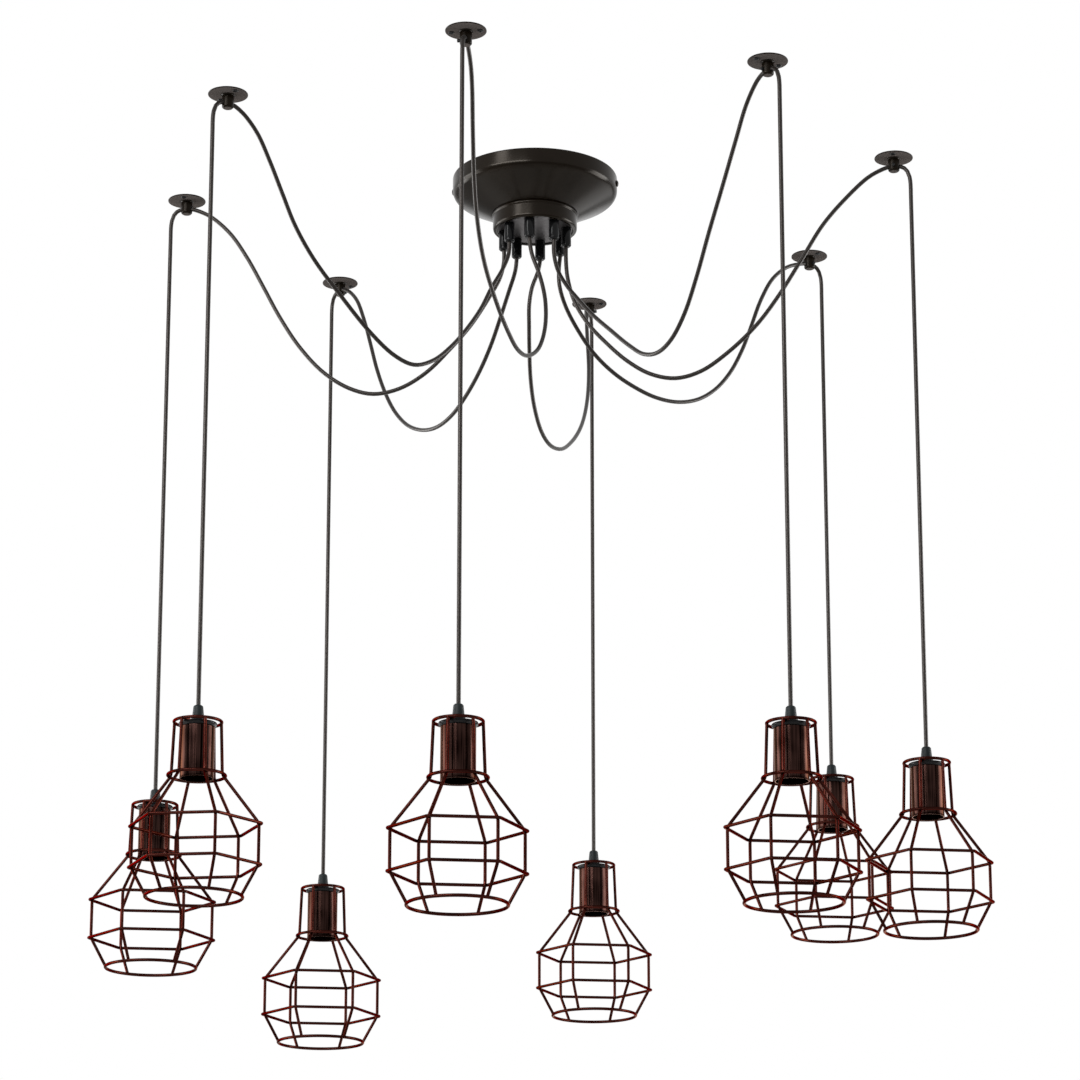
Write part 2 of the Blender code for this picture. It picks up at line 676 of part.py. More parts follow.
def cage_frame(cutters):
    """Wires along the edges of a six-sided lantern: struts, two rings, two hexagons and a mouth."""
    levels = (
        (TOP_RING_RADIUS, 0, RING_SPLIT),
        (NECK_RADIUS, -NECK_DROP, RING_SPLIT),
        (BELLY_RADIUS, -SHOULDER_DROP, 1),
        (BELLY_RADIUS, -WAIST_DROP, 1),
        (MOUTH_RING_RADIUS, -MOUTH_DROP, RING_SPLIT),
    )
    places = []
    rows = []
    for radius, height, split in levels:
        count = STRUTS * split
        rows.append((len(places), split, count))
        for i in range(count):
            angle = 2 * math.pi * i / count
            places.append((radius * math.cos(angle), radius * math.sin(angle), height))
    faces = []
    for upper, lower in zip(rows, rows[1:]):
        for i in range(STRUTS):
            above, below = (
                [start + (i * split + j) % count for j in range(split + 1)]
                for start, split, count in (upper, lower)
            )
            faces.append(above[::-1] + below)
    mesh = bpy.data.meshes.new("cage_frame")
    mesh.from_pydata(places, [], faces)
    frame = add_object("cage_frame", mesh, cutters)
    wires = frame.modifiers.new("wires", "WIREFRAME")
    wires.thickness = WIRE_DIAMETER * WIRE_WIDTH_SHARE
    wires.use_even_offset = True
    wires.use_boundary = True
    wires.use_replace = True
    return frame


def cage_mesh(cutters):
    """The wire cage and the strap across its top ring, which the strain relief traps."""
    frame = add_object("frame", baked_mesh(cage_frame(cutters), "frame"), cutters)
    angle = 2 * math.pi * STRAP_STRUT / STRUTS
    eye = rod(
        "strap_eye", STRAP_EYE_RADIUS, (0, 0, -STRAP_HALF), (0, 0, STRAP_HALF),
        STRAP_EYE_SIDES, cutters,
    )
    bar = box("strap_bar", (2 * TOP_RING_RADIUS, STRAP_WIDTH, STRAP_THICKNESS), (0, 0, 0), cutters)
    bar.matrix_world = Matrix.Rotation(angle, 4, "Z")
    hole = rod(
        "strap_hole", CAP_STEM_RADIUS + FIT_GAP, (0, 0, -STRAP_HALF - CUT_OVERRUN),
        (0, 0, STRAP_HALF + CUT_OVERRUN), HOLDER_STEPS, cutters,
    )
    combine(frame, [bar, eye], "UNION")
    combine(frame, [hole], "DIFFERENCE")
    mesh = baked_mesh(frame, "cage")
    remove([eye, bar, hole])
    return mesh


def swag_points(route):
    """The swag in its head's frame: out of the grip, along the route, through the clip and round
    the bend to the top of the straight drop."""
    points = [
        (GRIP_RING_RADIUS, 0, GRIP_BOTTOM + CORD_TAIL),
        (GRIP_RING_RADIUS, 0, GRIP_BOTTOM + CORD_TAIL / 2),
        (GRIP_RING_RADIUS, 0, GRIP_BOTTOM),
    ]
    points += [(GRIP_RING_RADIUS + out, side, height) for out, side, height in route]
    level = -CLIP_HOLE_DROP
    points += [
        (CLIP_RING_RADIUS - BOSS_RADIUS - CORD_RADIUS, 0, level - CORD_CLEARANCE),
        (CLIP_RING_RADIUS - BOSS_RADIUS, 0, level),
        (CLIP_RING_RADIUS, 0, level),
        (CLIP_RING_RADIUS + BOSS_RADIUS, 0, level),
    ]
    points += [
        (CLIP_RING_RADIUS + BEND_REACH * out, 0, level - BEND_DROP * down)
        for out, down in BEND_SHARES
    ]
    return points


def build():
    clear_scene()
    parts = new_collection("cluster_pendant")
    cutters = new_collection("cutters")
    cutters.hide_render = True

    bronze = new_material("dark_bronze_paint", (0.022, 0.019, 0.017), 0.42, 0.6)
    black = new_material("black_moulding", (0.010, 0.010, 0.011), 0.25, 0.0)
    zinc = new_material("zinc_plate", (0.45, 0.45, 0.43), 0.40, 1.0)
    ivory = new_material("terminal_moulding", (0.60, 0.56, 0.46), 0.50, 0.0)
    braid = new_material("braided_flex", (0.030, 0.025, 0.022), 0.80, 0.0)
    copper = new_material("antique_copper", (0.100, 0.028, 0.020), 0.38, 0.9)
    slate = new_material("slate_moulding", (0.026, 0.036, 0.040), 0.55, 0.0)

    canopy_dish(parts, cutters, bronze)
    canopy_hub(parts, cutters, bronze)
    crossbar(parts, cutters, zinc)
    terminal_block(parts, cutters, ivory)

    grip = grip_mesh(cutters)
    clip = clip_mesh(cutters)
    cap = cap_mesh(cutters)
    sleeve = sleeve_mesh(cutters)
    cage = cage_mesh(cutters)
    for number, (angle, height, side, route) in enumerate(HEADS, 1):
        add_head(number, angle, height, side, route, parts, {
            "cord_grip": (grip, black),
            "ceiling_clip": (clip, bronze),
            "cord": (None, braid),
            "holder_cap": (cap, slate),
            "holder_sleeve": (sleeve, copper),
            "cage": (cage, copper),
        })


def add_head(number, angle, height, side, route, parts, pieces):
    """One grip, clip, cord, lampholder and cage, in its place round the canopy."""
    grip, black = pieces["cord_grip"]
    clip, bronze = pieces["ceiling_clip"]
    braid = pieces["cord"][1]
    drop_radius = CLIP_RING_RADIUS + BEND_REACH
    place = head_matrix(angle)
    add_object(
        f"cord_grip_{number}", grip, parts, black, head_matrix(angle, GRIP_RING_RADIUS)
    )
    add_object(
        f"ceiling_clip_{number}", clip, parts, bronze, head_matrix(angle, CLIP_RING_RADIUS)
    )
    swag = tube(
        f"swag_cord_{number}", smooth_curve(swag_points(route), CORD_STEP), CORD_RADIUS,
        CORD_SIDES_RESOLUTION, parts,
    )
    swag.matrix_world = place
    swag.data.materials.append(braid)
    drop_length = DROP_TOP - (height + CORD_SEAT + FIT_GAP)
    drop = tube(
        f"drop_cord_{number}", [(0, 0, 0), (0, 0, -drop_length / 2), (0, 0, -drop_length)],
        CORD_RADIUS, CORD_SIDES_RESOLUTION, parts,
    )
    drop.matrix_world = head_matrix(angle, drop_radius, DROP_TOP)
    drop.data.materials.append(braid)
    lamp = Matrix.Translation(head_matrix(angle, drop_radius, height).translation)
    lamp = lamp @ Matrix.Rotation(side * CAGE_TURN, 4, "Z")
    for name in ("holder_cap", "holder_sleeve", "cage"):
        mesh, material = pieces[name]
        add_object(f"{name}_{number}", mesh, parts, material, lamp)


build()
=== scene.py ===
"""Cluster pendant light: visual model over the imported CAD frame. Metres, +Z up, ceiling at zero."""

import math
from types import SimpleNamespace

import bmesh
import bpy
from mathutils import Matrix, Vector


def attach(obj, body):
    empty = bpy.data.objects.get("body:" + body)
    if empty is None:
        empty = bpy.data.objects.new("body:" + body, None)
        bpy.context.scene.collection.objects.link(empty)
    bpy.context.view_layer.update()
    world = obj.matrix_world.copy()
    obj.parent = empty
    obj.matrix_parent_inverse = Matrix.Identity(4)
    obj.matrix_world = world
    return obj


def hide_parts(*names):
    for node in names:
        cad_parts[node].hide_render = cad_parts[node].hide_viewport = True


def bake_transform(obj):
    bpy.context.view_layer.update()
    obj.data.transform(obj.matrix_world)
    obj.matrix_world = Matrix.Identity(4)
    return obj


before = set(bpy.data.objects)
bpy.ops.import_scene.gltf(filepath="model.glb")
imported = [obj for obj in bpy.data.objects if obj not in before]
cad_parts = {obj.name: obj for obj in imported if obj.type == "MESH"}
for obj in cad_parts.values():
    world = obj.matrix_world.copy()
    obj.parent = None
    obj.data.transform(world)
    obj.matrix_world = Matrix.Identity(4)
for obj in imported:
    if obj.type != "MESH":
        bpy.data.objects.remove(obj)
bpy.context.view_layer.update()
scene = bpy.context.scene
scene.view_settings.view_transform = "Standard"

# Sizes that the CAD model has too
CLIP_RING_RADIUS = 0.436
GRIP_RING_RADIUS = 0.038
BEND_REACH = 0.0195
BEND_DROP = 0.046
CLIP_HOLE_DROP = 0.012
BOSS_RADIUS = 0.0068
CORD_RADIUS = 0.0025
GRIP_TOP = -0.0661
GRIP_BOTTOM = -0.0901
HUB_TOP = -0.0463
HUB_BOTTOM = -0.0673
CORD_END = 0.0071
DISH_RADIUS = 0.1000
DISH_FOOT = -0.0460
CROSSBAR_TURN = -8.0
RIM_SCREW_REACH = 0.1002
RIM_SCREW_HEIGHT = -0.011
ROOT = "ceiling_group"

# Cord: how far it reaches into its grip, where it straightens before the clip, and the distance
# between places along its swag and its drop
CORD_TAIL = 0.020
CLIP_LEAD = 0.0025
CLIP_LEAD_DROP = 0.0006
SWAG_STEP = 0.006
DROP_STEP = 0.012

# The bend outside the clip, in shares of its reach outward and of its drop
BEND_SHAPE = (
    (0.45, 0.007), (0.64, 0.048), (0.82, 0.14), (0.95, 0.30), (1.0, 0.52), (1.0, 0.76), (1.0, 1.0),
)

# Radii of the holes that a cord passes
CORD_BORE = 0.0029
CLIP_BORE = 0.0031
HUB_BORE = 0.0045

# The largest share of an edge that a rounded corner takes
EDGE_SHARE = 0.49

# Clip: its two fixing screws and its locking screw, from its centre
FIXING_SCREW_OFFSET = 0.0165
FIXING_SCREW_HEIGHT = -0.0014
LOCK_SCREW_OFFSET = -0.0052

# Lampholder, with heights from the cage's top ring
SOCKET_BOTTOM = -0.0524
SOCKET_TOP = -0.0055
SOCKET_LIP = 0.0012
THREAD_PITCH = 0.00363
THREAD_TURNS = 6
THREAD_TOP = SOCKET_BOTTOM + SOCKET_LIP + THREAD_TURNS * THREAD_PITCH
FLOOR_STEP = 0.0008

# Cage, with heights from its top ring
WIRE_RADIUS = 0.0018
TOP_RING_RADIUS = 0.0261
NECK_HEIGHT = -0.0600
UPPER_HEXAGON_HEIGHT = -0.1150
LOWER_HEXAGON_HEIGHT = -0.1605
MOUTH_HEIGHT = -0.1945
CAGE_TURN = 7.0

# Camera: sensor width and lens in millimetres, pitch upward in degrees
SENSOR_WIDTH = 36.0
LENS = 120.74
LENS_SHIFT = 0.12
CAMERA_PLACE = (0.0061, -4.12, -1.696)
CAMERA_PITCH = 14.67

# Surroundings
WORLD_LIGHT = 0.42
FLOOR_REACH = 24.0
FLOOR_HEIGHT = -2.30
FLOOR_GLOW = 0.20

# Area lights: name, place, the point it faces, width and height, power
MIDDLE = (0, 0, -0.45)
LIGHTS = (
    ("key_wide", (-1.85, -2.65, 0.55), MIDDLE, (3.0, 0.45), 88),
    ("top_strip", (-2.1, -2.0, 1.3), (0, 0, 0), (0.8, 0.8), 22),
    ("left_strip", (-2.8, 0.55, -0.60), (0, 0, -0.6), (1.9, 1.9), 84),
    ("right_strip", (2.8, 0.45, -0.60), (0, 0, -0.6), (1.5, 1.9), 82),
    ("back_right", (1.3, 2.8, -2.0), MIDDLE, (3.2, 2.2), 34),
    ("back_left", (-2.4, 1.7, -1.1), MIDDLE, (0.8, 1.4), 26),
)

# Braid: crossing strands round the cord, and their waves along it in radians per metre
BRAID_STRANDS = 12
BRAID_PITCH = 4200.0

# Heads: the clip's angle in degrees, the height of the cage's top ring, the side the cage is
# turned to, and the swag's route as distance outward from the grip, distance to the left, height
HEADS = (
    (260.0, -0.791, 1, (
        (0.001, 0.003, -0.111), (0.004, 0.013, -0.140), (0.011, 0.021, -0.174),
        (0.029, 0.024, -0.217), (0.050, 0.020, -0.250), (0.082, 0.012, -0.270),
        (0.111, 0.006, -0.272), (0.145, 0.001, -0.262), (0.190, -0.005, -0.240),
        (0.236, -0.010, -0.209), (0.270, -0.011, -0.175), (0.300, -0.009, -0.138),
        (0.330, -0.005, -0.092), (0.356, -0.001, -0.049), (0.369, 0.0, -0.030),
        (0.381, 0.0, -0.0175),
    )),
    (216.0, -0.747, -1, (
        (0.001, 0.0, -0.105), (0.010, 0.0, -0.127), (0.026, 0.0, -0.154),
        (0.042, 0.0, -0.185), (0.064, 0.0, -0.217), (0.086, 0.0, -0.243),
        (0.110, 0.0, -0.264), (0.137, 0.0, -0.275), (0.165, 0.0, -0.269),
        (0.200, 0.0, -0.247), (0.240, 0.0, -0.212), (0.278, 0.0, -0.175),
        (0.304, 0.0, -0.140), (0.322, 0.0, -0.105), (0.340, 0.0, -0.069),
        (0.358, 0.0, -0.038), (0.377, 0.0, -0.019),
    )),
    (307.0, -0.772, 1, (
        (0.0, 0.0, -0.107), (0.007, 0.0, -0.130), (0.024, 0.0, -0.155),
        (0.047, 0.0, -0.180), (0.075, 0.0, -0.208), (0.110, 0.0, -0.238),
        (0.145, 0.0, -0.267), (0.172, 0.0, -0.285), (0.198, 0.0, -0.290),
        (0.222, 0.0, -0.281), (0.246, 0.0, -0.257), (0.268, 0.0, -0.220),
        (0.291, 0.0, -0.173), (0.316, 0.0, -0.125), (0.340, 0.0, -0.078),
        (0.360, 0.0, -0.040), (0.379, 0.0, -0.018),
    )),
    (351.0, -0.747, 1, (
        (0.0, 0.0, -0.107), (0.002, 0.0, -0.130), (0.010, 0.0, -0.160),
        (0.026, 0.0, -0.189), (0.048, 0.0, -0.215), (0.074, 0.0, -0.240),
        (0.102, 0.0, -0.258), (0.132, 0.0, -0.265), (0.162, 0.0, -0.258),
        (0.195, 0.0, -0.236), (0.230, 0.0, -0.203), (0.258, 0.0, -0.166),
        (0.284, 0.0, -0.125), (0.312, 0.0, -0.080), (0.340, 0.0, -0.048),
        (0.366, 0.0, -0.024), (0.380, 0.0, -0.016),
    )),
    (171.0, -0.765, 1, (
        (0.0, 0.0, -0.104), (0.005, 0.0, -0.125), (0.018, 0.0, -0.149),
        (0.040, 0.0, -0.183), (0.066, 0.0, -0.213), (0.096, 0.0, -0.242),
        (0.128, 0.0, -0.260), (0.160, 0.0, -0.265), (0.190, 0.0, -0.256),
        (0.222, 0.0, -0.234), (0.252, 0.0, -0.200), (0.278, 0.0, -0.159),
        (0.298, 0.0, -0.121), (0.320, 0.0, -0.080), (0.342, 0.0, -0.047),
        (0.366, 0.0, -0.024), (0.380, 0.0, -0.016),
    )),
    (126.0, -0.807, 1, (
        (0.003, 0.0, -0.106), (0.016, 0.0, -0.128), (0.034, 0.0, -0.157),
        (0.054, 0.0, -0.187), (0.078, 0.0, -0.214), (0.106, 0.0, -0.237),
        (0.136, 0.0, -0.254), (0.168, 0.0, -0.261), (0.200, 0.0, -0.257),
        (0.234, 0.0, -0.242), (0.264, 0.0, -0.216), (0.288, 0.0, -0.183),
        (0.308, 0.0, -0.145), (0.323, 0.0, -0.108), (0.338, 0.0, -0.072),
        (0.357, 0.0, -0.037), (0.376, 0.0, -0.019),
    )),
    (80.5, -0.760, 1, (
        (0.0, 0.003, -0.106), (0.001, 0.010, -0.124), (0.003, 0.014, -0.146),
        (0.008, 0.015, -0.172), (0.016, 0.016, -0.200), (0.031, 0.017, -0.232),
        (0.051, 0.016, -0.260), (0.078, 0.012, -0.283), (0.108, 0.006, -0.292),
        (0.142, -0.002, -0.287), (0.187, -0.009, -0.263), (0.235, -0.014, -0.226),
        (0.284, -0.014, -0.176), (0.325, -0.010, -0.119), (0.352, -0.004, -0.064),
        (0.367, -0.001, -0.036), (0.380, 0.0, -0.0185),
    )),
    (36.0, -0.689, 1, (
        (-0.002, 0.0, -0.108), (-0.001, 0.0, -0.130), (0.008, 0.0, -0.154),
        (0.026, 0.0, -0.180), (0.050, 0.0, -0.205), (0.080, 0.0, -0.224),
        (0.112, 0.0, -0.236), (0.146, 0.0, -0.243), (0.180, 0.0, -0.242),
        (0.212, 0.0, -0.232), (0.240, 0.0, -0.213), (0.264, 0.0, -0.186),
        (0.284, 0.0, -0.152), (0.299, 0.0, -0.118), (0.316, 0.0, -0.078),
        (0.336, 0.0, -0.045), (0.360, 0.0, -0.024), (0.378, 0.0, -0.016),
    )),
)


# Camera, in the photograph's place
def add_camera():
    data = bpy.data.cameras.new("camera")
    data.sensor_width = SENSOR_WIDTH
    data.lens = LENS
    data.shift_y = LENS_SHIFT
    camera = bpy.data.objects.new("camera", data)
    scene.collection.objects.link(camera)
    camera.location = CAMERA_PLACE
    camera.rotation_euler = (math.radians(90 + CAMERA_PITCH), 0, 0)
    data.clip_start = 0.05
    data.clip_end = 60
    scene.camera = camera


# Light and surroundings
def add_area(name, place, target, size, power):
    data = bpy.data.lights.new(name, "AREA")
    data.shape = "RECTANGLE"
    data.size, data.size_y = size
    data.energy = power
    light = bpy.data.objects.new(name, data)
    scene.collection.objects.link(light)
    light.location = place
    away = Vector(place) - Vector(target)
    light.rotation_euler = away.to_track_quat("Z", "Y").to_euler()


def background(tree, strength):
    node = tree.nodes.new("ShaderNodeBackground")
    node.inputs["Color"].default_value = (1, 1, 1, 1)
    node.inputs["Strength"].default_value = strength
    return node.outputs[0]


def add_world():
    """White where the camera, a reflection or glass looks at it, and softer as a light."""
    world = bpy.data.worlds.new("studio")
    scene.world = world
    world.use_nodes = True
    tree = world.node_tree
    tree.nodes.clear()
    path = tree.nodes.new("ShaderNodeLightPath").outputs
    seen = calculated(tree, "MAXIMUM", path["Is Camera Ray"], path["Is Glossy Ray"])
    seen = calculated(tree, "MAXIMUM", seen, path["Is Transmission Ray"])
    mix = tree.nodes.new("ShaderNodeMixShader")
    tree.links.new(seen, mix.inputs["Fac"])
    tree.links.new(background(tree, WORLD_LIGHT), mix.inputs[1])
    tree.links.new(background(tree, 1.0), mix.inputs[2])
    output = tree.nodes.new("ShaderNodeOutputWorld")
    tree.links.new(mix.outputs[0], output.inputs["Surface"])


def add_floor():
    """A pale floor, a little lighter where the camera sees it."""
    mesh = bpy.data.meshes.new("floor")
    corners = [
        (x * FLOOR_REACH, y * FLOOR_REACH, 0) for x, y in ((-1, -1), (1, -1), (1, 1), (-1, 1))
    ]
    mesh.from_pydata(corners, [], [(0, 1, 2, 3)])
    floor = bpy.data.objects.new("floor", mesh)
    scene.collection.objects.link(floor)
    floor.location = (0, 0, FLOOR_HEIGHT)
    material, tree, shader = principled("pale_floor", (0.80, 0.80, 0.79), 0.9)
    path = tree.nodes.new("ShaderNodeLightPath").outputs
    glow = calculated(tree, "MULTIPLY", path["Is Camera Ray"], FLOOR_GLOW)
    shader.inputs["Emission Color"].default_value = (1, 1, 1, 1)
    tree.links.new(glow, shader.inputs["Emission Strength"])
    mesh.materials.append(material)


# Material helpers
def principled(name, colour, roughness, metallic=0.0):
    material = bpy.data.materials.new(name)
    material.use_nodes = True
    tree = material.node_tree
    shader = tree.nodes["Principled BSDF"]
    shader.inputs["Base Color"].default_value = (*colour, 1)
    shader.inputs["Roughness"].default_value = roughness
    shader.inputs["Metallic"].default_value = metallic
    return material, tree, shader


def coordinates(tree, kind="Object", scale=(1, 1, 1)):
    source = tree.nodes.new("ShaderNodeTexCoord")
    mapping = tree.nodes.new("ShaderNodeMapping")
    mapping.inputs["Scale"].default_value = scale
    tree.links.new(source.outputs[kind], mapping.inputs["Vector"])
    return mapping.outputs["Vector"]


def noise(tree, vector, scale, detail, roughness=0.5):
    node = tree.nodes.new("ShaderNodeTexNoise")
    node.inputs["Scale"].default_value = scale
    node.inputs["Detail"].default_value = detail
    node.inputs["Roughness"].default_value = roughness
    tree.links.new(vector, node.inputs["Vector"])
    return node.outputs["Fac"]


def ramp(tree, value, stops):
    node = tree.nodes.new("ShaderNodeValToRGB")
    elements = node.color_ramp.elements
    while len(elements) < len(stops):
        elements.new(0.5)
    for element, (place, colour) in zip(elements, stops):
        element.position = place
        element.color = (*colour, 1)
    tree.links.new(value, node.inputs["Fac"])
    return node.outputs["Color"]


def spread(tree, value, low, high, start=0.0):
    node = tree.nodes.new("ShaderNodeMapRange")
    node.inputs["From Min"].default_value = start
    node.inputs["To Min"].default_value = low
    node.inputs["To Max"].default_value = high
    tree.links.new(value, node.inputs["Value"])
    return node.outputs["Result"]


def calculated(tree, operation, *values):
    """The result of a maths node on sockets and numbers."""
    node = tree.nodes.new("ShaderNodeMath")
    node.operation = operation
    for socket, value in zip(node.inputs, values):
        if isinstance(value, (int, float)):
            socket.default_value = value
        else:
            tree.links.new(value, socket)
    return node.outputs[0]


def coloured(tree, shader, value, stops):
    tree.links.new(ramp(tree, value, stops), shader.inputs["Base Color"])


def roughened(tree, shader, value, low, high):
    tree.links.new(spread(tree, value, low, high), shader.inputs["Roughness"])


def bump(tree, shader, height, distance, strength):
    node = tree.nodes.new("ShaderNodeBump")
    node.inputs["Strength"].default_value = strength
    node.inputs["Distance"].default_value = distance
    tree.links.new(height, node.inputs["Height"])
    tree.links.new(node.outputs["Normal"], shader.inputs["Normal"])


# Materials
def bronze_paint(name, dark, light, level=0.12):
    """Glossy dark paint with a slight cloud in its colour and a fine orange peel."""
    material, tree, shader = principled(name, dark, 0.21)
    vector = coordinates(tree)
    coloured(tree, shader, noise(tree, vector, 22, 4), ((0.30, dark), (0.72, light)))
    roughened(tree, shader, noise(tree, vector, 90, 3), 0.19, 0.24)
    bump(tree, shader, noise(tree, vector, 900, 2), 0.00003, 0.08)
    shader.inputs["Specular IOR Level"].default_value = level
    shader.inputs["Specular Tint"].default_value = (1.0, 0.90, 0.79, 1)
    return material


def copper(name, dark, light, streak_scale, detail, roughness, edge):
    """Dark red-bronze finish with drawn or brushed streaks along the piece."""
    material, tree, shader = principled(name, dark, roughness, 1.0)
    streaks = noise(tree, coordinates(tree, "UV", streak_scale), 1.0, detail, 0.62)
    cloud = calculated(tree, "MULTIPLY", noise(tree, coordinates(tree), 38, 1), 0.35)
    tone = calculated(tree, "MULTIPLY_ADD", streaks, 0.65, cloud)
    coloured(tree, shader, tone, ((0.36, dark), (0.66, light)))
    roughened(tree, shader, streaks, roughness - 0.08, roughness + 0.10)
    bump(tree, shader, streaks, 0.00010, 0.30)
    shader.inputs["Specular Tint"].default_value = (*edge, 1)
    return material


def moulding(name, dark, light, roughness, grain, level=0.5):
    """Moulded plastic with a fine grain."""
    material, tree, shader = principled(name, dark, roughness)
    vector = coordinates(tree)
    coloured(tree, shader, noise(tree, vector, 60, 3), ((0.35, dark), (0.70, light)))
    roughened(tree, shader, noise(tree, vector, 240, 2), roughness - 0.05, roughness + 0.06)
    bump(tree, shader, noise(tree, vector, 2200, 1), grain, 0.5)
    shader.inputs["Specular IOR Level"].default_value = level
    return material


def plated(name, dark, light, roughness):
    """Plated or bare metal with uneven gloss."""
    material, tree, shader = principled(name, light, roughness, 1.0)
    vector = coordinates(tree)
    coloured(tree, shader, noise(tree, vector, 70, 4), ((0.30, dark), (0.70, light)))
    roughened(tree, shader, noise(tree, vector, 260, 3), roughness - 0.08, roughness + 0.10)
    bump(tree, shader, noise(tree, vector, 900, 2), 0.00008, 0.4)
    return material


def braid_cloth():
    """Fine diagonal braid from two crossed waves in the cord's own coordinates."""
    material, tree, shader = principled("braid_cloth", (0.008, 0.0064, 0.0055), 0.33)
    source = tree.nodes.new("ShaderNodeTexCoord")
    split = tree.nodes.new("ShaderNodeSeparateXYZ")
    tree.links.new(source.outputs["UV"], split.inputs[0])
    waves = []
    for lean in (1, -1):
        across = calculated(tree, "MULTIPLY", split.outputs["X"], lean * BRAID_STRANDS * math.pi)
        along = calculated(tree, "MULTIPLY_ADD", split.outputs["Y"], BRAID_PITCH, across)
        waves.append(calculated(tree, "SINE", along))
    cell = spread(tree, calculated(tree, "MAXIMUM", *waves), 0.0, 1.0, start=-1.0)
    cloud = calculated(tree, "MULTIPLY", noise(tree, coordinates(tree), 30, 3), 0.5)
    tone = calculated(tree, "MULTIPLY_ADD", cell, 0.6, cloud)
    dark, light = (0.0060, 0.0047, 0.0039), (0.0098, 0.0077, 0.0065)
    coloured(tree, shader, tone, ((0.25, dark), (0.85, light)))
    roughened(tree, shader, cell, 0.38, 0.28)
    bump(tree, shader, cell, 0.00014, 0.16)
    shader.inputs["Specular IOR Level"].default_value = 0.24
    shader.inputs["Specular Tint"].default_value = (1.0, 0.92, 0.87, 1)
    shader.inputs["Sheen Weight"].default_value = 0.04
    shader.inputs["Sheen Roughness"].default_value = 0.5
    return material


def add_finishes():
    """Every finish but the cords', with its dark and its light colour."""
    paint = (0.0030, 0.0019, 0.0010), (0.0056, 0.0038, 0.0024)
    return SimpleNamespace(
        bronze=bronze_paint("bronze_paint", *paint),
        clip_bronze=bronze_paint("clip_bronze", *paint, level=0.07),
        # Painted light: a lighter bronze with no reflection for the clips' faces that look down,
        # standing in for the light they catch from below
        painted_light_bronze=bronze_paint(
            "painted_light_bronze", (0.060, 0.052, 0.048), (0.073, 0.064, 0.060), level=0.0
        ),
        plate_grey=plated("plate_grey", (0.060, 0.055, 0.055), (0.105, 0.098, 0.100), 0.42),
        zinc=plated("zinc_plate", (0.42, 0.42, 0.40), (0.62, 0.62, 0.60), 0.34),
        brass=plated("brass_contact", (0.55, 0.38, 0.16), (0.74, 0.55, 0.28), 0.28),
        ivory=moulding(
            "terminal_ivory", (0.52, 0.49, 0.41), (0.62, 0.59, 0.50), roughness=0.45, grain=0.00004
        ),
        black=moulding(
            "black_gloss", (0.0025, 0.0025, 0.0027), (0.005, 0.005, 0.0054),
            roughness=0.10, grain=0.00001, level=0.12,
        ),
        satin=moulding(
            "black_satin", (0.003, 0.003, 0.0035), (0.006, 0.006, 0.0065),
            roughness=0.32, grain=0.00003, level=0.18,
        ),
        slate=moulding(
            "slate_satin", (0.0070, 0.0102, 0.0108), (0.0125, 0.0165, 0.0170),
            roughness=0.46, grain=0.00006, level=0.12,
        ),
        lining=moulding(
            "socket_black", (0.006, 0.006, 0.006), (0.012, 0.011, 0.010),
            roughness=0.42, grain=0.00004, level=0.25,
        ),
        wire=copper(
            "copper_wire", (0.0100, 0.0027, 0.0020), (0.049, 0.0130, 0.0096),
            streak_scale=(1.0, 9, 1), detail=2, roughness=0.23, edge=(0.54, 0.32, 0.27),
        ),
        tube=copper(
            "copper_tube", (0.0018, 0.0006, 0.0005), (0.041, 0.0199, 0.0164),
            streak_scale=(90, 16, 1), detail=5, roughness=0.18, edge=(0.78, 0.60, 0.54),
        ),
    )


# Mesh helpers
def piece(name, mesh, material, body, matrix=None, replaces=()):
    mesh.name = name
    if matrix is not None:
        mesh.transform(matrix)
    obj = bpy.data.objects.new(name, mesh)
    scene.collection.objects.link(obj)
    if not mesh.materials:
        mesh.materials.append(material)
    if body:
        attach(obj, body)
    if replaces:
        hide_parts(*replaces)
    return obj


def finished(mesh_or_bmesh, sharp=32.0):
    if isinstance(mesh_or_bmesh, bmesh.types.BMesh):
        mesh = bpy.data.meshes.new("mesh")
        bmesh.ops.recalc_face_normals(mesh_or_bmesh, faces=mesh_or_bmesh.faces)
        mesh_or_bmesh.to_mesh(mesh)
        mesh_or_bmesh.free()
    else:
        mesh = mesh_or_bmesh
    mesh.shade_smooth()
    mesh.set_sharp_from_angle(angle=math.radians(sharp))
    return mesh


def softened(points, cuts, steps, closed=False):
    """Rounds corners. A cut is the distance from the corner where its arc starts."""
    result = []
    count = len(points)
    for i, point in enumerate(points):
        distance = cuts.get(i, 0) if isinstance(cuts, dict) else cuts
        if not distance or (not closed and i in (0, count - 1)):
            result.append(Vector(point))
            continue
        corner = Vector(point)
        before = Vector(points[i - 1]) - corner
        after = Vector(points[(i + 1) % count]) - corner
        start = corner + before.normalized() * min(distance, before.length * EDGE_SHARE)
        end = corner + after.normalized() * min(distance, after.length * EDGE_SHARE)
        for j in range(steps + 1):
            t = j / steps
            result.append(start * (1 - t) ** 2 + corner * 2 * t * (1 - t) + end * t * t)
    return result


def circle(radius, height, count):
    angles = [2 * math.pi * i / count for i in range(count)]
    return [(radius * math.cos(angle), radius * math.sin(angle), height) for angle in angles]


def band(work, upper, lower):
    """Faces between two rings of points. A ring of one point is a pole."""
    steps = max(len(upper), len(lower))
    for i in range(steps):
        j = (i + 1) % steps
        corners = (
            upper[i % len(upper)], upper[j % len(upper)],
            lower[j % len(lower)], lower[i % len(lower)],
        )
        unique = list(dict.fromkeys(corners))
        if len(unique) > 2:
            work.faces.new(unique)


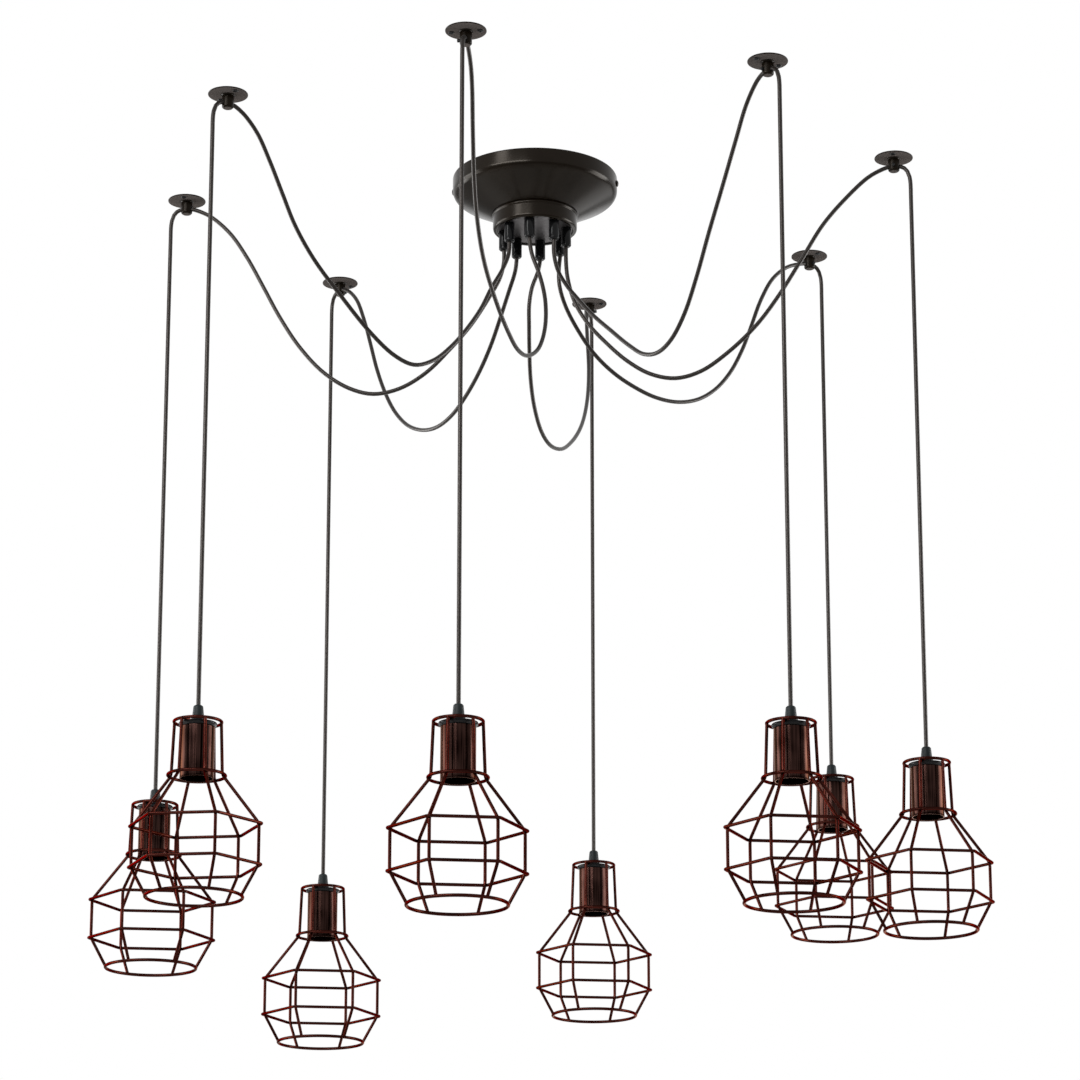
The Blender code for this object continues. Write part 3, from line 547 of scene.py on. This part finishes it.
def lathe(profile, steps, closed=False, into=None):
    """A profile of (radius, height, 0) turned about Z. A zero radius makes a pole."""
    work = into or bmesh.new()
    rows = []
    for radius, height, _ in profile:
        places = circle(radius, height, steps) if radius >= 1e-6 else [(0, 0, height)]
        rows.append([work.verts.new(place) for place in places])
    for upper, lower in zip(rows, rows[1:]):
        band(work, upper, lower)
    if closed:
        band(work, rows[-1], rows[0])
    return work


def sweep(path, radius, sides, closed=False, into=None):
    """A round wire along the path, with its own coordinates: round it, and along it in metres."""
    work = into or bmesh.new()
    layer = work.loops.layers.uv.verify()
    points = [Vector(point) for point in path]
    count = len(points)
    tangents = []
    for i in range(count):
        before = points[i - 1] if closed or i else points[0]
        after = points[(i + 1) % count] if closed or i < count - 1 else points[-1]
        tangents.append((after - before).normalized())
    reference = Vector((0, 0, 1)) if abs(tangents[0].z) < 0.9 else Vector((1, 0, 0))
    side = tangents[0].cross(reference).normalized()
    rings, along, distance = [], [], 0.0
    for i, (point, tangent) in enumerate(zip(points, tangents)):
        side = (side - tangent * side.dot(tangent)).normalized()
        other = tangent.cross(side)
        if i:
            distance += (point - points[i - 1]).length
        along.append(distance)
        rings.append([
            work.verts.new(
                point + (side * math.cos(2 * math.pi * k / sides)
                         + other * math.sin(2 * math.pi * k / sides)) * radius
            )
            for k in range(sides)
        ])
    along.append(distance + (points[0] - points[-1]).length)
    for i in range(count if closed else count - 1):
        lower, upper = rings[i], rings[(i + 1) % count]
        for k in range(sides):
            face = work.faces.new((
                lower[k], lower[(k + 1) % sides], upper[(k + 1) % sides], upper[k]
            ))
            places = ((k, i), (k + 1, i), (k + 1, i + 1), (k, i + 1))
            for loop, (turn, row) in zip(face.loops, places):
                loop[layer].uv = (turn / sides, along[row])
    if not closed:
        work.faces.new(list(reversed(rings[0])))
        work.faces.new(rings[-1])
    return work


def resampled(points, step, closed=False):
    """Adds points on long stretches, so that the streaks run evenly."""
    result = []
    count = len(points)
    for i in range(count if closed else count - 1):
        a, b = Vector(points[i]), Vector(points[(i + 1) % count])
        pieces = max(1, round((b - a).length / step))
        result += [a.lerp(b, j / pieces) for j in range(pieces)]
    if not closed:
        result.append(Vector(points[-1]))
    return result


def block(size, centre, into, turn=None):
    matrix = Matrix.Translation(centre)
    if turn is not None:
        matrix = turn @ matrix
    bmesh.ops.create_cube(into, size=1.0, matrix=matrix @ Matrix.Diagonal((*size, 1.0)))


def between(start, end, axis, up):
    """A place in the middle of a line, with the axis turned along it."""
    turn = (end - start).to_track_quat(axis, up).to_matrix().to_4x4()
    return Matrix.Translation((start + end) / 2) @ turn


def stub(radius, start, end, sides, into):
    start, end = Vector(start), Vector(end)
    bmesh.ops.create_cone(
        into, cap_ends=True, segments=sides, radius1=radius, radius2=radius,
        depth=(end - start).length, matrix=between(start, end, "Z", "Y"),
    )


def cut(mesh, cutters):
    """The mesh with the cutters' space taken out of it."""
    target = bpy.data.objects.new("cut_target", mesh)
    scene.collection.objects.link(target)
    helpers = []
    for work in cutters:
        tool_mesh = bpy.data.meshes.new("cutter")
        bmesh.ops.recalc_face_normals(work, faces=work.faces)
        work.to_mesh(tool_mesh)
        work.free()
        tool = bpy.data.objects.new("cutter", tool_mesh)
        scene.collection.objects.link(tool)
        modifier = target.modifiers.new("cut", "BOOLEAN")
        modifier.operation = "DIFFERENCE"
        modifier.object = tool
        helpers.append(tool)
    bpy.context.view_layer.update()
    graph = bpy.context.evaluated_depsgraph_get()
    result = bpy.data.meshes.new_from_object(target.evaluated_get(graph))
    for obj in (target, *helpers):
        bpy.data.objects.remove(obj, do_unlink=True)
    return result


def set_materials(mesh, *materials):
    mesh.materials.clear()
    for material in materials:
        mesh.materials.append(material)


def head_matrix(angle, radius, height=0.0):
    turn = Matrix.Rotation(math.radians(angle), 4, "Z")
    return turn @ Matrix.Translation((radius, 0, height))


# Cords
def smooth_curve(points, step):
    """A centripetal spline through the points, with a place every step or so."""
    places = [Vector(point) for point in points]
    padded = [places[0] * 2 - places[1], *places, places[-1] * 2 - places[-2]]
    result = []
    for i in range(1, len(padded) - 2):
        p = padded[i - 1:i + 3]
        knots = [0.0]
        for a, b in zip(p, p[1:]):
            knots.append(knots[-1] + math.sqrt((b - a).length))
        count = max(1, round((p[2] - p[1]).length / step))
        for j in range(count):
            result.append(spline_place(p, knots, knots[1] + (knots[2] - knots[1]) * j / count))
    result.append(places[-1])
    return result


def spline_place(p, k, t):
    first = [blended(p[n], p[n + 1], k[n], k[n + 1], t) for n in range(3)]
    second = [blended(first[n], first[n + 1], k[n], k[n + 2], t) for n in range(2)]
    return blended(*second, k[1], k[2], t)


def blended(a, b, low, high, t):
    share = (t - low) / (high - low)
    return a * (1 - share) + b * share


def cord_path(angle, height, route):
    """From inside the grip, along the swag, through the clip and down into the strain relief."""
    points = [
        (GRIP_RING_RADIUS, 0, GRIP_BOTTOM + CORD_TAIL),
        (GRIP_RING_RADIUS, 0, GRIP_BOTTOM + CORD_TAIL / 2),
        (GRIP_RING_RADIUS, 0, GRIP_BOTTOM),
    ]
    points += [(GRIP_RING_RADIUS + out, side, z) for out, side, z in route]
    points += [
        (CLIP_RING_RADIUS - BOSS_RADIUS - CLIP_LEAD, 0, -CLIP_HOLE_DROP - CLIP_LEAD_DROP),
        (CLIP_RING_RADIUS - BOSS_RADIUS, 0, -CLIP_HOLE_DROP),
        (CLIP_RING_RADIUS, 0, -CLIP_HOLE_DROP),
        (CLIP_RING_RADIUS + BOSS_RADIUS, 0, -CLIP_HOLE_DROP),
    ]
    points += [
        (CLIP_RING_RADIUS + BEND_REACH * out, 0, -CLIP_HOLE_DROP - BEND_DROP * down)
        for out, down in BEND_SHAPE
    ]
    path = smooth_curve(points, SWAG_STEP)
    end = height + CORD_END
    start = path[-1].z
    count = max(2, round((start - end) / DROP_STEP))
    for i in range(1, count + 1):
        path.append(Vector((path[-1].x, 0, start + (end - start) * i / count)))
    turn = Matrix.Rotation(math.radians(angle), 4, "Z")
    return [turn @ point for point in path]


def add_cord(number, angle, height, route, material):
    path = cord_path(angle, height, route)
    obj = piece(
        f"cord_{number}", finished(sweep(path, CORD_RADIUS, 12), 60.0), material, None,
        replaces=(f"swag_cord_{number}", f"drop_cord_{number}"),
    )
    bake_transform(obj)


# Canopy
def dish_mesh():
    """A thin shell with a rolled rim and a flat foot."""
    wall, foot_hole = 0.0012, 0.0310
    outer = softened(
        [(0.0994, 0.0, 0), (DISH_RADIUS, -0.0010, 0), (DISH_RADIUS, -0.0215, 0),
         (0.0526, DISH_FOOT, 0), (foot_hole, DISH_FOOT, 0)],
        {1: 0.0006, 2: 0.0065, 3: 0.0008}, 7,
    )
    inner = softened(
        [(foot_hole, DISH_FOOT + wall, 0), (0.0535, DISH_FOOT + wall, 0),
         (DISH_RADIUS - wall, -0.0208, 0), (DISH_RADIUS - wall, 0.0, 0)],
        {1: 0.003, 2: 0.006}, 6,
    )
    return finished(lathe(outer + inner, 144, closed=True), 40.0)


def hub_mesh(finish):
    """A cup with a recessed floor of another finish, and a hole for each grip."""
    floor, thick, bore = HUB_BOTTOM + 0.0015, 0.003, 0.0484
    floor_reach = 0.0449
    top = HUB_TOP + 0.0003
    profile = softened(
        [(0, floor + thick, 0), (bore, floor + thick, 0), (bore, top, 0), (0.0490, top, 0),
         (0.0514, top, 0), (0.0521, top - 0.0018, 0), (0.0518, top - 0.0034, 0),
         (0.0510, top - 0.0042, 0), (0.0510, HUB_BOTTOM, 0), (0.0455, HUB_BOTTOM, 0),
         (0.0451, floor, 0), (0, floor, 0)],
        {4: 0.0006, 5: 0.0008, 6: 0.0007, 7: 0.0006, 8: 0.0040, 9: 0.0008}, 6,
    )
    hub = finished(lathe(profile, 128), 40.0)
    drills = []
    for angle, *_ in HEADS:
        drill = bmesh.new()
        centre = head_matrix(angle, GRIP_RING_RADIUS).translation
        start, end = Vector((0, 0, floor - 0.002)), Vector((0, 0, floor + 0.005))
        stub(HUB_BORE, centre + start, centre + end, 24, drill)
        drills.append(drill)
    hub = finished(cut(hub, drills), 40.0)
    set_materials(hub, finish.bronze, finish.plate_grey)
    for face in hub.polygons:
        centre = face.center
        on_floor = face.normal.z < -0.9 and abs(centre.z - floor) < 0.0002
        if on_floor and math.hypot(centre.x, centre.y) < floor_reach:
            face.material_index = 1
    return hub


def strap_mesh(reach, width, thick, tab):
    """A flat bar with both ends turned down."""
    inner = reach - thick
    outline = [
        (-reach, 0), (-reach, -tab), (-inner, -tab), (-inner, -thick), (inner, -thick),
        (inner, -tab), (reach, -tab), (reach, 0),
    ]
    work = bmesh.new()
    ends = [[work.verts.new((x, y, z)) for x, z in outline] for y in (-width / 2, width / 2)]
    for end in ends:
        work.faces.new(end)
    for i in range(len(outline)):
        j = (i + 1) % len(outline)
        work.faces.new((ends[0][i], ends[1][i], ends[1][j], ends[0][j]))
    return finished(work)


def screw_mesh(radius, height, shank_radius, shank_length):
    """A domed head on +Z with a cross recess, and its shank below."""
    profile = [(0, height, 0)]
    for i in range(1, 7):
        turn = math.radians(90 * i / 6)
        profile.append((radius * math.sin(turn), height * (0.18 + 0.82 * math.cos(turn)), 0))
    profile += [
        (radius, 0, 0), (shank_radius, 0, 0), (shank_radius, -shank_length, 0),
        (0, -shank_length, 0),
    ]
    mesh = finished(lathe(profile, 32), 35.0)
    recess = bmesh.new()
    block((radius * 1.1, radius * 0.24, height), (0, 0, height * 0.98), recess)
    other = bmesh.new()
    block((radius * 0.24, radius * 1.1, height), (0, 0, height * 0.98), other)
    return finished(cut(mesh, [recess, other]), 35.0)


def add_canopy(finish):
    """The dish, the hub, the crossbar with its rim screws, and the terminal block's finish."""
    piece(
        "canopy_dish_fine", dish_mesh(), finish.bronze, ROOT,
        replaces=("canopy_dish",),
    )
    piece(
        "canopy_hub_fine", hub_mesh(finish), finish.bronze, ROOT,
        replaces=("canopy_hub",),
    )

    turn = Matrix.Rotation(math.radians(CROSSBAR_TURN), 4, "Z")
    strap = strap_mesh(reach=0.0968, width=0.018, thick=0.0015, tab=0.017)
    strap.transform(turn)
    slots = []
    for side in (-1, 1):
        slot = bmesh.new()
        block((0.020, 0.005, 0.006), (side * 0.035, 0, 0), slot)
        bmesh.ops.transform(slot, matrix=turn, verts=slot.verts)
        slots.append(slot)
    crossbar = piece(
        "crossbar_fine", finished(cut(strap, slots)), finish.zinc, ROOT,
        replaces=("crossbar",),
    )
    bevel = crossbar.modifiers.new("edges", "BEVEL")
    bevel.width = 0.0004
    bevel.segments = 2
    bevel.limit_method = "ANGLE"
    for side, label in ((-1, "left"), (1, "right")):
        screw = screw_mesh(radius=0.0040, height=0.0022, shank_radius=0.002, shank_length=0.006)
        place = turn @ Matrix.Translation((side * RIM_SCREW_REACH, 0, RIM_SCREW_HEIGHT))
        place = place @ Matrix.Rotation(math.radians(90 * side), 4, "Y")
        piece(f"rim_screw_{label}", screw, finish.bronze, ROOT, place)

    for material_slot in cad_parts["terminal_block"].material_slots:
        material_slot.material = finish.ivory


# Cord grips
def grip_mesh():
    """Thread, flange of the gland and its long body, round the cord's bore."""
    neck, flange, body = 0.0042, 0.0075, 0.00625
    top, under = GRIP_TOP + 0.0070, GRIP_TOP + 0.0038
    outline = softened(
        [(CORD_BORE, top, 0), (flange, top, 0), (flange, under, 0), (neck, under, 0),
         (neck, GRIP_TOP, 0), (body, GRIP_TOP, 0), (body, GRIP_BOTTOM + 0.0016, 0),
         (0.0048, GRIP_BOTTOM, 0), (CORD_BORE, GRIP_BOTTOM, 0)],
        {1: 0.0005, 5: 0.0004, 6: 0.0004, 7: 0.0003}, 3,
    )
    return finished(lathe(outline, 40, closed=True), 28.0)


# Ceiling clips
def clip_mesh(finish):
    """A round plate and its boss, with the cord's cross hole. Faces that look down are matt and
    painted lighter: painted light, standing in for the light they catch from below.
    """
    plate, thick, boss, bottom = 0.023, 0.0015, BOSS_RADIUS, -0.018
    profile = softened(
        [(0, 0, 0), (plate - 0.0003, 0, 0), (plate, -0.0004, 0), (plate, -thick, 0),
         (plate - 0.0012, -thick, 0), (boss + 0.0012, -thick, 0),
         (boss, -thick - 0.0012, 0), (boss, bottom + 0.0016, 0), (boss - 0.0016, bottom, 0),
         (0, bottom, 0)],
        {3: 0.0007, 5: 0.0006, 6: 0.0006, 7: 0.0007, 8: 0.0007}, 4,
    )
    mesh = finished(lathe(profile, 72), 40.0)
    hole = bmesh.new()
    stub(CLIP_BORE, (-0.009, 0, -CLIP_HOLE_DROP), (0.009, 0, -CLIP_HOLE_DROP), 32, hole)
    clip = finished(cut(mesh, [hole]), 40.0)
    set_materials(clip, finish.clip_bronze, finish.painted_light_bronze)
    # Painted light: the faces that look down take the lighter finish
    for face in clip.polygons:
        if face.normal.z < -0.97:
            face.material_index = 1
    return clip


def lock_screw_mesh():
    """A small knurled screw with a slot, pointing along +Z."""
    steps, knurl = 28, 0.94
    work = bmesh.new()
    outline = [
        (0, 0.0046, 0), (0.0015, 0.0046, 0), (0.0019, 0.0042, 0), (0.0019, 0.0004, 0),
        (0.0016, 0.0001, 0), (0.0016, -0.0008, 0), (0, -0.0008, 0),
    ]
    lathe(outline, steps, into=work)
    for vertex in work.verts:
        ring = math.hypot(vertex.co.x, vertex.co.y)
        rib = round(math.atan2(vertex.co.y, vertex.co.x) * steps / (2 * math.pi))
        if ring > 0.0018 and rib % 2:
            vertex.co.x *= knurl
            vertex.co.y *= knurl
    mesh = finished(work, 30.0)
    groove = bmesh.new()
    block((0.005, 0.0006, 0.0014), (0, 0, 0.0046), groove)
    return finished(cut(mesh, [groove]), 30.0)


# Lampholders, measured from the cage's top ring
def relief_mesh():
    """Tapered strain relief over a ribbed collar."""
    outline = softened(
        [(CORD_BORE, 0.0095, 0), (CORD_BORE, 0.0188, 0), (0.0041, 0.0188, 0), (0.0054, 0.0174, 0),
         (0.0067, 0.0049, 0), (0.0040, 0.0046, 0), (0.0040, 0.0095, 0)],
        {2: 0.0003, 3: 0.0003, 4: 0.0003}, 3,
    )
    return finished(lathe(outline, 48, closed=True), 20.0)


def collar_mesh():
    """A screwed ring with grip ribs all round."""
    work = bmesh.new()
    count, rib, groove = 96, 0.0074, 0.0069
    rows = []
    heights = ((0.00455, 0.90), (0.00420, 1.0), (0.00140, 1.0), (0.00105, 0.93))
    for height, share in heights:
        row = []
        for i in range(count):
            radius = rib if i % 4 in (0, 1) else groove
            angle = 2 * math.pi * i / count
            row.append(work.verts.new((
                radius * share * math.cos(angle), radius * share * math.sin(angle), height
            )))
        rows.append(row)
    for upper, lower in zip(rows, rows[1:]):
        band(work, upper, lower)
    work.faces.new(rows[0])
    work.faces.new(list(reversed(rows[-1])))
    return finished(work, 30.0)


def disc_mesh():
    """The cap disc that the sleeve hangs from, with the neck that passes the cage's strap."""
    outline = softened(
        [(0, 0.0014, 0), (0.0045, 0.0014, 0), (0.0045, -0.00105, 0), (0.0209, -0.00105, 0),
         (0.0209, -0.0032, 0), (0.0189, -0.0055, 0), (0, -0.0055, 0)],
        {3: 0.0006, 4: 0.0005, 5: 0.0003}, 4,
    )
    return finished(lathe(outline, 96), 30.0)


def socket_mesh():
    """The E27 insert: outer wall, rolled thread inside, and the contact floor."""
    outer, thread, depth = 0.0168, 0.01335, 0.00038
    steps, rows_per_turn = 72, 6
    work = bmesh.new()
    lathe(softened(
        [(0.0120, SOCKET_TOP, 0), (outer, SOCKET_TOP, 0), (outer, SOCKET_BOTTOM, 0),
         (0.0141, SOCKET_BOTTOM, 0), (0.0138, SOCKET_BOTTOM + SOCKET_LIP, 0)],
        {2: 0.0006, 3: 0.0005}, 4,
    ), steps, into=work)
    rows = []
    for level in range(THREAD_TURNS * rows_per_turn + 1):
        row = []
        for i in range(steps):
            share = i / steps
            phase = 2 * math.pi * (level / rows_per_turn - share)
            radius = thread + depth * math.cos(phase)
            height = SOCKET_BOTTOM + SOCKET_LIP + level * THREAD_PITCH / rows_per_turn
            angle = 2 * math.pi * share
            row.append(work.verts.new((radius * math.cos(angle), radius * math.sin(angle), height)))
        rows.append(row)
    for upper, lower in zip(rows, rows[1:]):
        for i in range(steps):
            j = (i + 1) % steps
            work.faces.new((upper[i], lower[i], lower[j], upper[j]))
    floor = THREAD_TOP + FLOOR_STEP
    lathe([(0.0137, THREAD_TOP, 0), (0.0100, floor, 0), (0, floor, 0)], steps, into=work)
    return finished(work, 40.0)


def contact_mesh():
    """The sprung centre contact in the socket's floor."""
    work = bmesh.new()
    width, thick, overlap = 0.0042, 0.0005, 0.0004
    top = THREAD_TOP + FLOOR_STEP
    path = [
        Vector((-0.0065, 0, top - 0.0003)), Vector((-0.003, 0, top - 0.0020)),
        Vector((0.0, 0, top - 0.0042)), Vector((0.0025, 0, top - 0.0046)),
    ]
    for start, end in zip(path, path[1:]):
        size = Matrix.Diagonal(((end - start).length + overlap, width, thick, 1))
        bmesh.ops.create_cube(work, size=1.0, matrix=between(start, end, "X", "Z") @ size)
    return finished(work, 30.0)


def sleeve_mesh():
    """A brushed tube with a rolled edge at each end."""
    top, bottom, outer, inner = -0.0058, -0.0637, 0.0188, 0.0174
    profile = softened(
        [(inner, top, 0), (outer - 0.0002, top, 0), (outer, top - 0.0004, 0),
         (outer, bottom + 0.0012, 0), (outer, bottom, 0), (inner, bottom, 0)],
        {1: 0.0003, 2: 0.0003, 4: 0.0006, 5: 0.0005}, 4, closed=True,
    )
    work = lathe(profile, 96, closed=True)
    layer = work.loops.layers.uv.verify()
    for face in work.faces:
        for loop in face.loops:
            co = loop.vert.co
            loop[layer].uv = (math.atan2(co.y, co.x) / (2 * math.pi), co.z)
    return finished(work, 35.0)


# Wire cage
def cage_mesh():
    """Six bent struts, five rings outside them, and the strap across the top ring."""
    sides = 12
    work = bmesh.new()
    levels = (
        (TOP_RING_RADIUS, 0.0008), (0.0285, NECK_HEIGHT), (0.0704, UPPER_HEXAGON_HEIGHT),
        (0.0704, LOWER_HEXAGON_HEIGHT), (0.0522, MOUTH_HEIGHT),
    )
    angles = [2 * math.pi * i / 6 for i in range(6)]
    for angle in angles:
        points = [(r * math.cos(angle), r * math.sin(angle), z) for r, z in levels]
        path = resampled(softened(points, 0.0045, 5), 0.008)
        sweep(path, WIRE_RADIUS, sides, into=work)
    sweep(circle(TOP_RING_RADIUS, 0.0, 60), WIRE_RADIUS * 1.02, sides, closed=True, into=work)
    sweep(circle(0.0315, NECK_HEIGHT, 60), WIRE_RADIUS, sides, closed=True, into=work)
    for height in (UPPER_HEXAGON_HEIGHT, LOWER_HEXAGON_HEIGHT):
        path = softened(circle(0.0738, height, 6), 0.0030, 4, closed=True)
        sweep(resampled(path, 0.010, closed=True), WIRE_RADIUS, sides, closed=True, into=work)
    mouth = circle(0.0528, MOUTH_HEIGHT, 84)
    sweep(mouth, WIRE_RADIUS * 1.05, sides, closed=True, into=work)
    welds = (
        (0.0300, NECK_HEIGHT), (0.0722, UPPER_HEXAGON_HEIGHT), (0.0722, LOWER_HEXAGON_HEIGHT),
    )
    for angle in angles:
        out = Vector((math.cos(angle), math.sin(angle), 0))
        for radius, height in welds:
            centre = out * radius + Vector((0, 0, height))
            bead = bmesh.ops.create_icosphere(work, subdivisions=2, radius=1.0)["verts"]
            shape = Matrix.Rotation(angle, 4, "Z") @ Matrix.Diagonal((0.0019, 0.0021, 0.0017, 1))
            bmesh.ops.transform(work, matrix=Matrix.Translation(centre) @ shape, verts=bead)
    turn = Matrix.Rotation(math.radians(60), 4, "Z")
    thick, bore, eye = 0.0014, 0.0048, 0.0100
    for side in (-1, 1):
        block((0.0190, 0.0058, thick), (side * 0.0165, 0, 0), work, turn)
    outline = [
        (bore, thick / 2, 0), (eye, thick / 2, 0), (0.0103, thick / 3, 0),
        (0.0103, -thick / 3, 0), (eye, -thick / 2, 0), (bore, -thick / 2, 0),
    ]
    lathe(outline, 40, closed=True, into=work)
    return finished(work, 38.0)


# Heads
def add_ceiling_pieces(number, angle, meshes, finish):
    """One head's grip and clip, with the clip's screws."""
    grip, clip, fixing, lock = meshes
    piece(
        f"cord_grip_{number}_fine", grip.copy(), finish.black, ROOT,
        head_matrix(angle, GRIP_RING_RADIUS), (f"cord_grip_{number}",),
    )
    clip_place = head_matrix(angle, CLIP_RING_RADIUS)
    piece(
        f"clip_{number}_fine", clip.copy(), finish.clip_bronze, ROOT, clip_place,
        (f"ceiling_clip_{number}",),
    )
    for label, side in (("left", 1), ("right", -1)):
        place = Matrix.Translation((0, side * FIXING_SCREW_OFFSET, FIXING_SCREW_HEIGHT))
        place = clip_place @ place @ Matrix.Rotation(math.pi, 4, "X")
        name = f"clip_{number}_screw_{label}"
        piece(name, fixing.copy(), finish.satin, ROOT, place)
    place = clip_place @ Matrix.Translation((0, LOCK_SCREW_OFFSET, -CLIP_HOLE_DROP))
    place = place @ Matrix.Rotation(math.radians(90), 4, "X")
    piece(f"clip_{number}_lock_screw", lock.copy(), finish.satin, ROOT, place)


def add_lamp(number, angle, height, side, parts):
    """One head's lampholder and cage."""
    centre = head_matrix(angle, CLIP_RING_RADIUS + BEND_REACH, height).translation
    place = Matrix.Translation(centre)
    place = place @ Matrix.Rotation(math.radians(CAGE_TURN * side), 4, "Z")
    for name, mesh, material, slot, nodes in parts:
        piece(
            name.format(number), mesh.copy(), material, f"lamp_{number}", place,
            tuple(node.format(number) for node in nodes),
        )


def main():
    add_camera()
    braid = braid_cloth()
    for number, (angle, height, _, route) in enumerate(HEADS, 1):
        add_cord(number, angle, height, route, braid)
    add_world()
    add_floor()
    for light in LIGHTS:
        add_area(*light)

    finish = add_finishes()
    add_canopy(finish)
    fixing = screw_mesh(radius=0.0035, height=0.0018, shank_radius=0.0015, shank_length=0.001)
    ceiling_meshes = (grip_mesh(), clip_mesh(finish), fixing, lock_screw_mesh())
    moulded, metal = "holder_moulding", "copper_finish"
    lamp_parts = (
        ("holder_{}_disc", disc_mesh(), finish.satin, moulded, ("holder_cap_{}",)),
        ("holder_{}_relief", relief_mesh(), finish.slate, moulded, ()),
        ("holder_{}_collar", collar_mesh(), finish.black, moulded, ()),
        ("holder_{}_socket", socket_mesh(), finish.lining, moulded, ()),
        ("holder_{}_contact", contact_mesh(), finish.brass, moulded, ()),
        ("sleeve_{}_fine", sleeve_mesh(), finish.tube, metal, ("holder_sleeve_{}",)),
        ("cage_{}_fine", cage_mesh(), finish.wire, metal, ("cage_{}",)),
    )
    for number, (angle, height, side, _) in enumerate(HEADS, 1):
        add_ceiling_pieces(number, angle, ceiling_meshes, finish)
        add_lamp(number, angle, height, side, lamp_parts)


main()
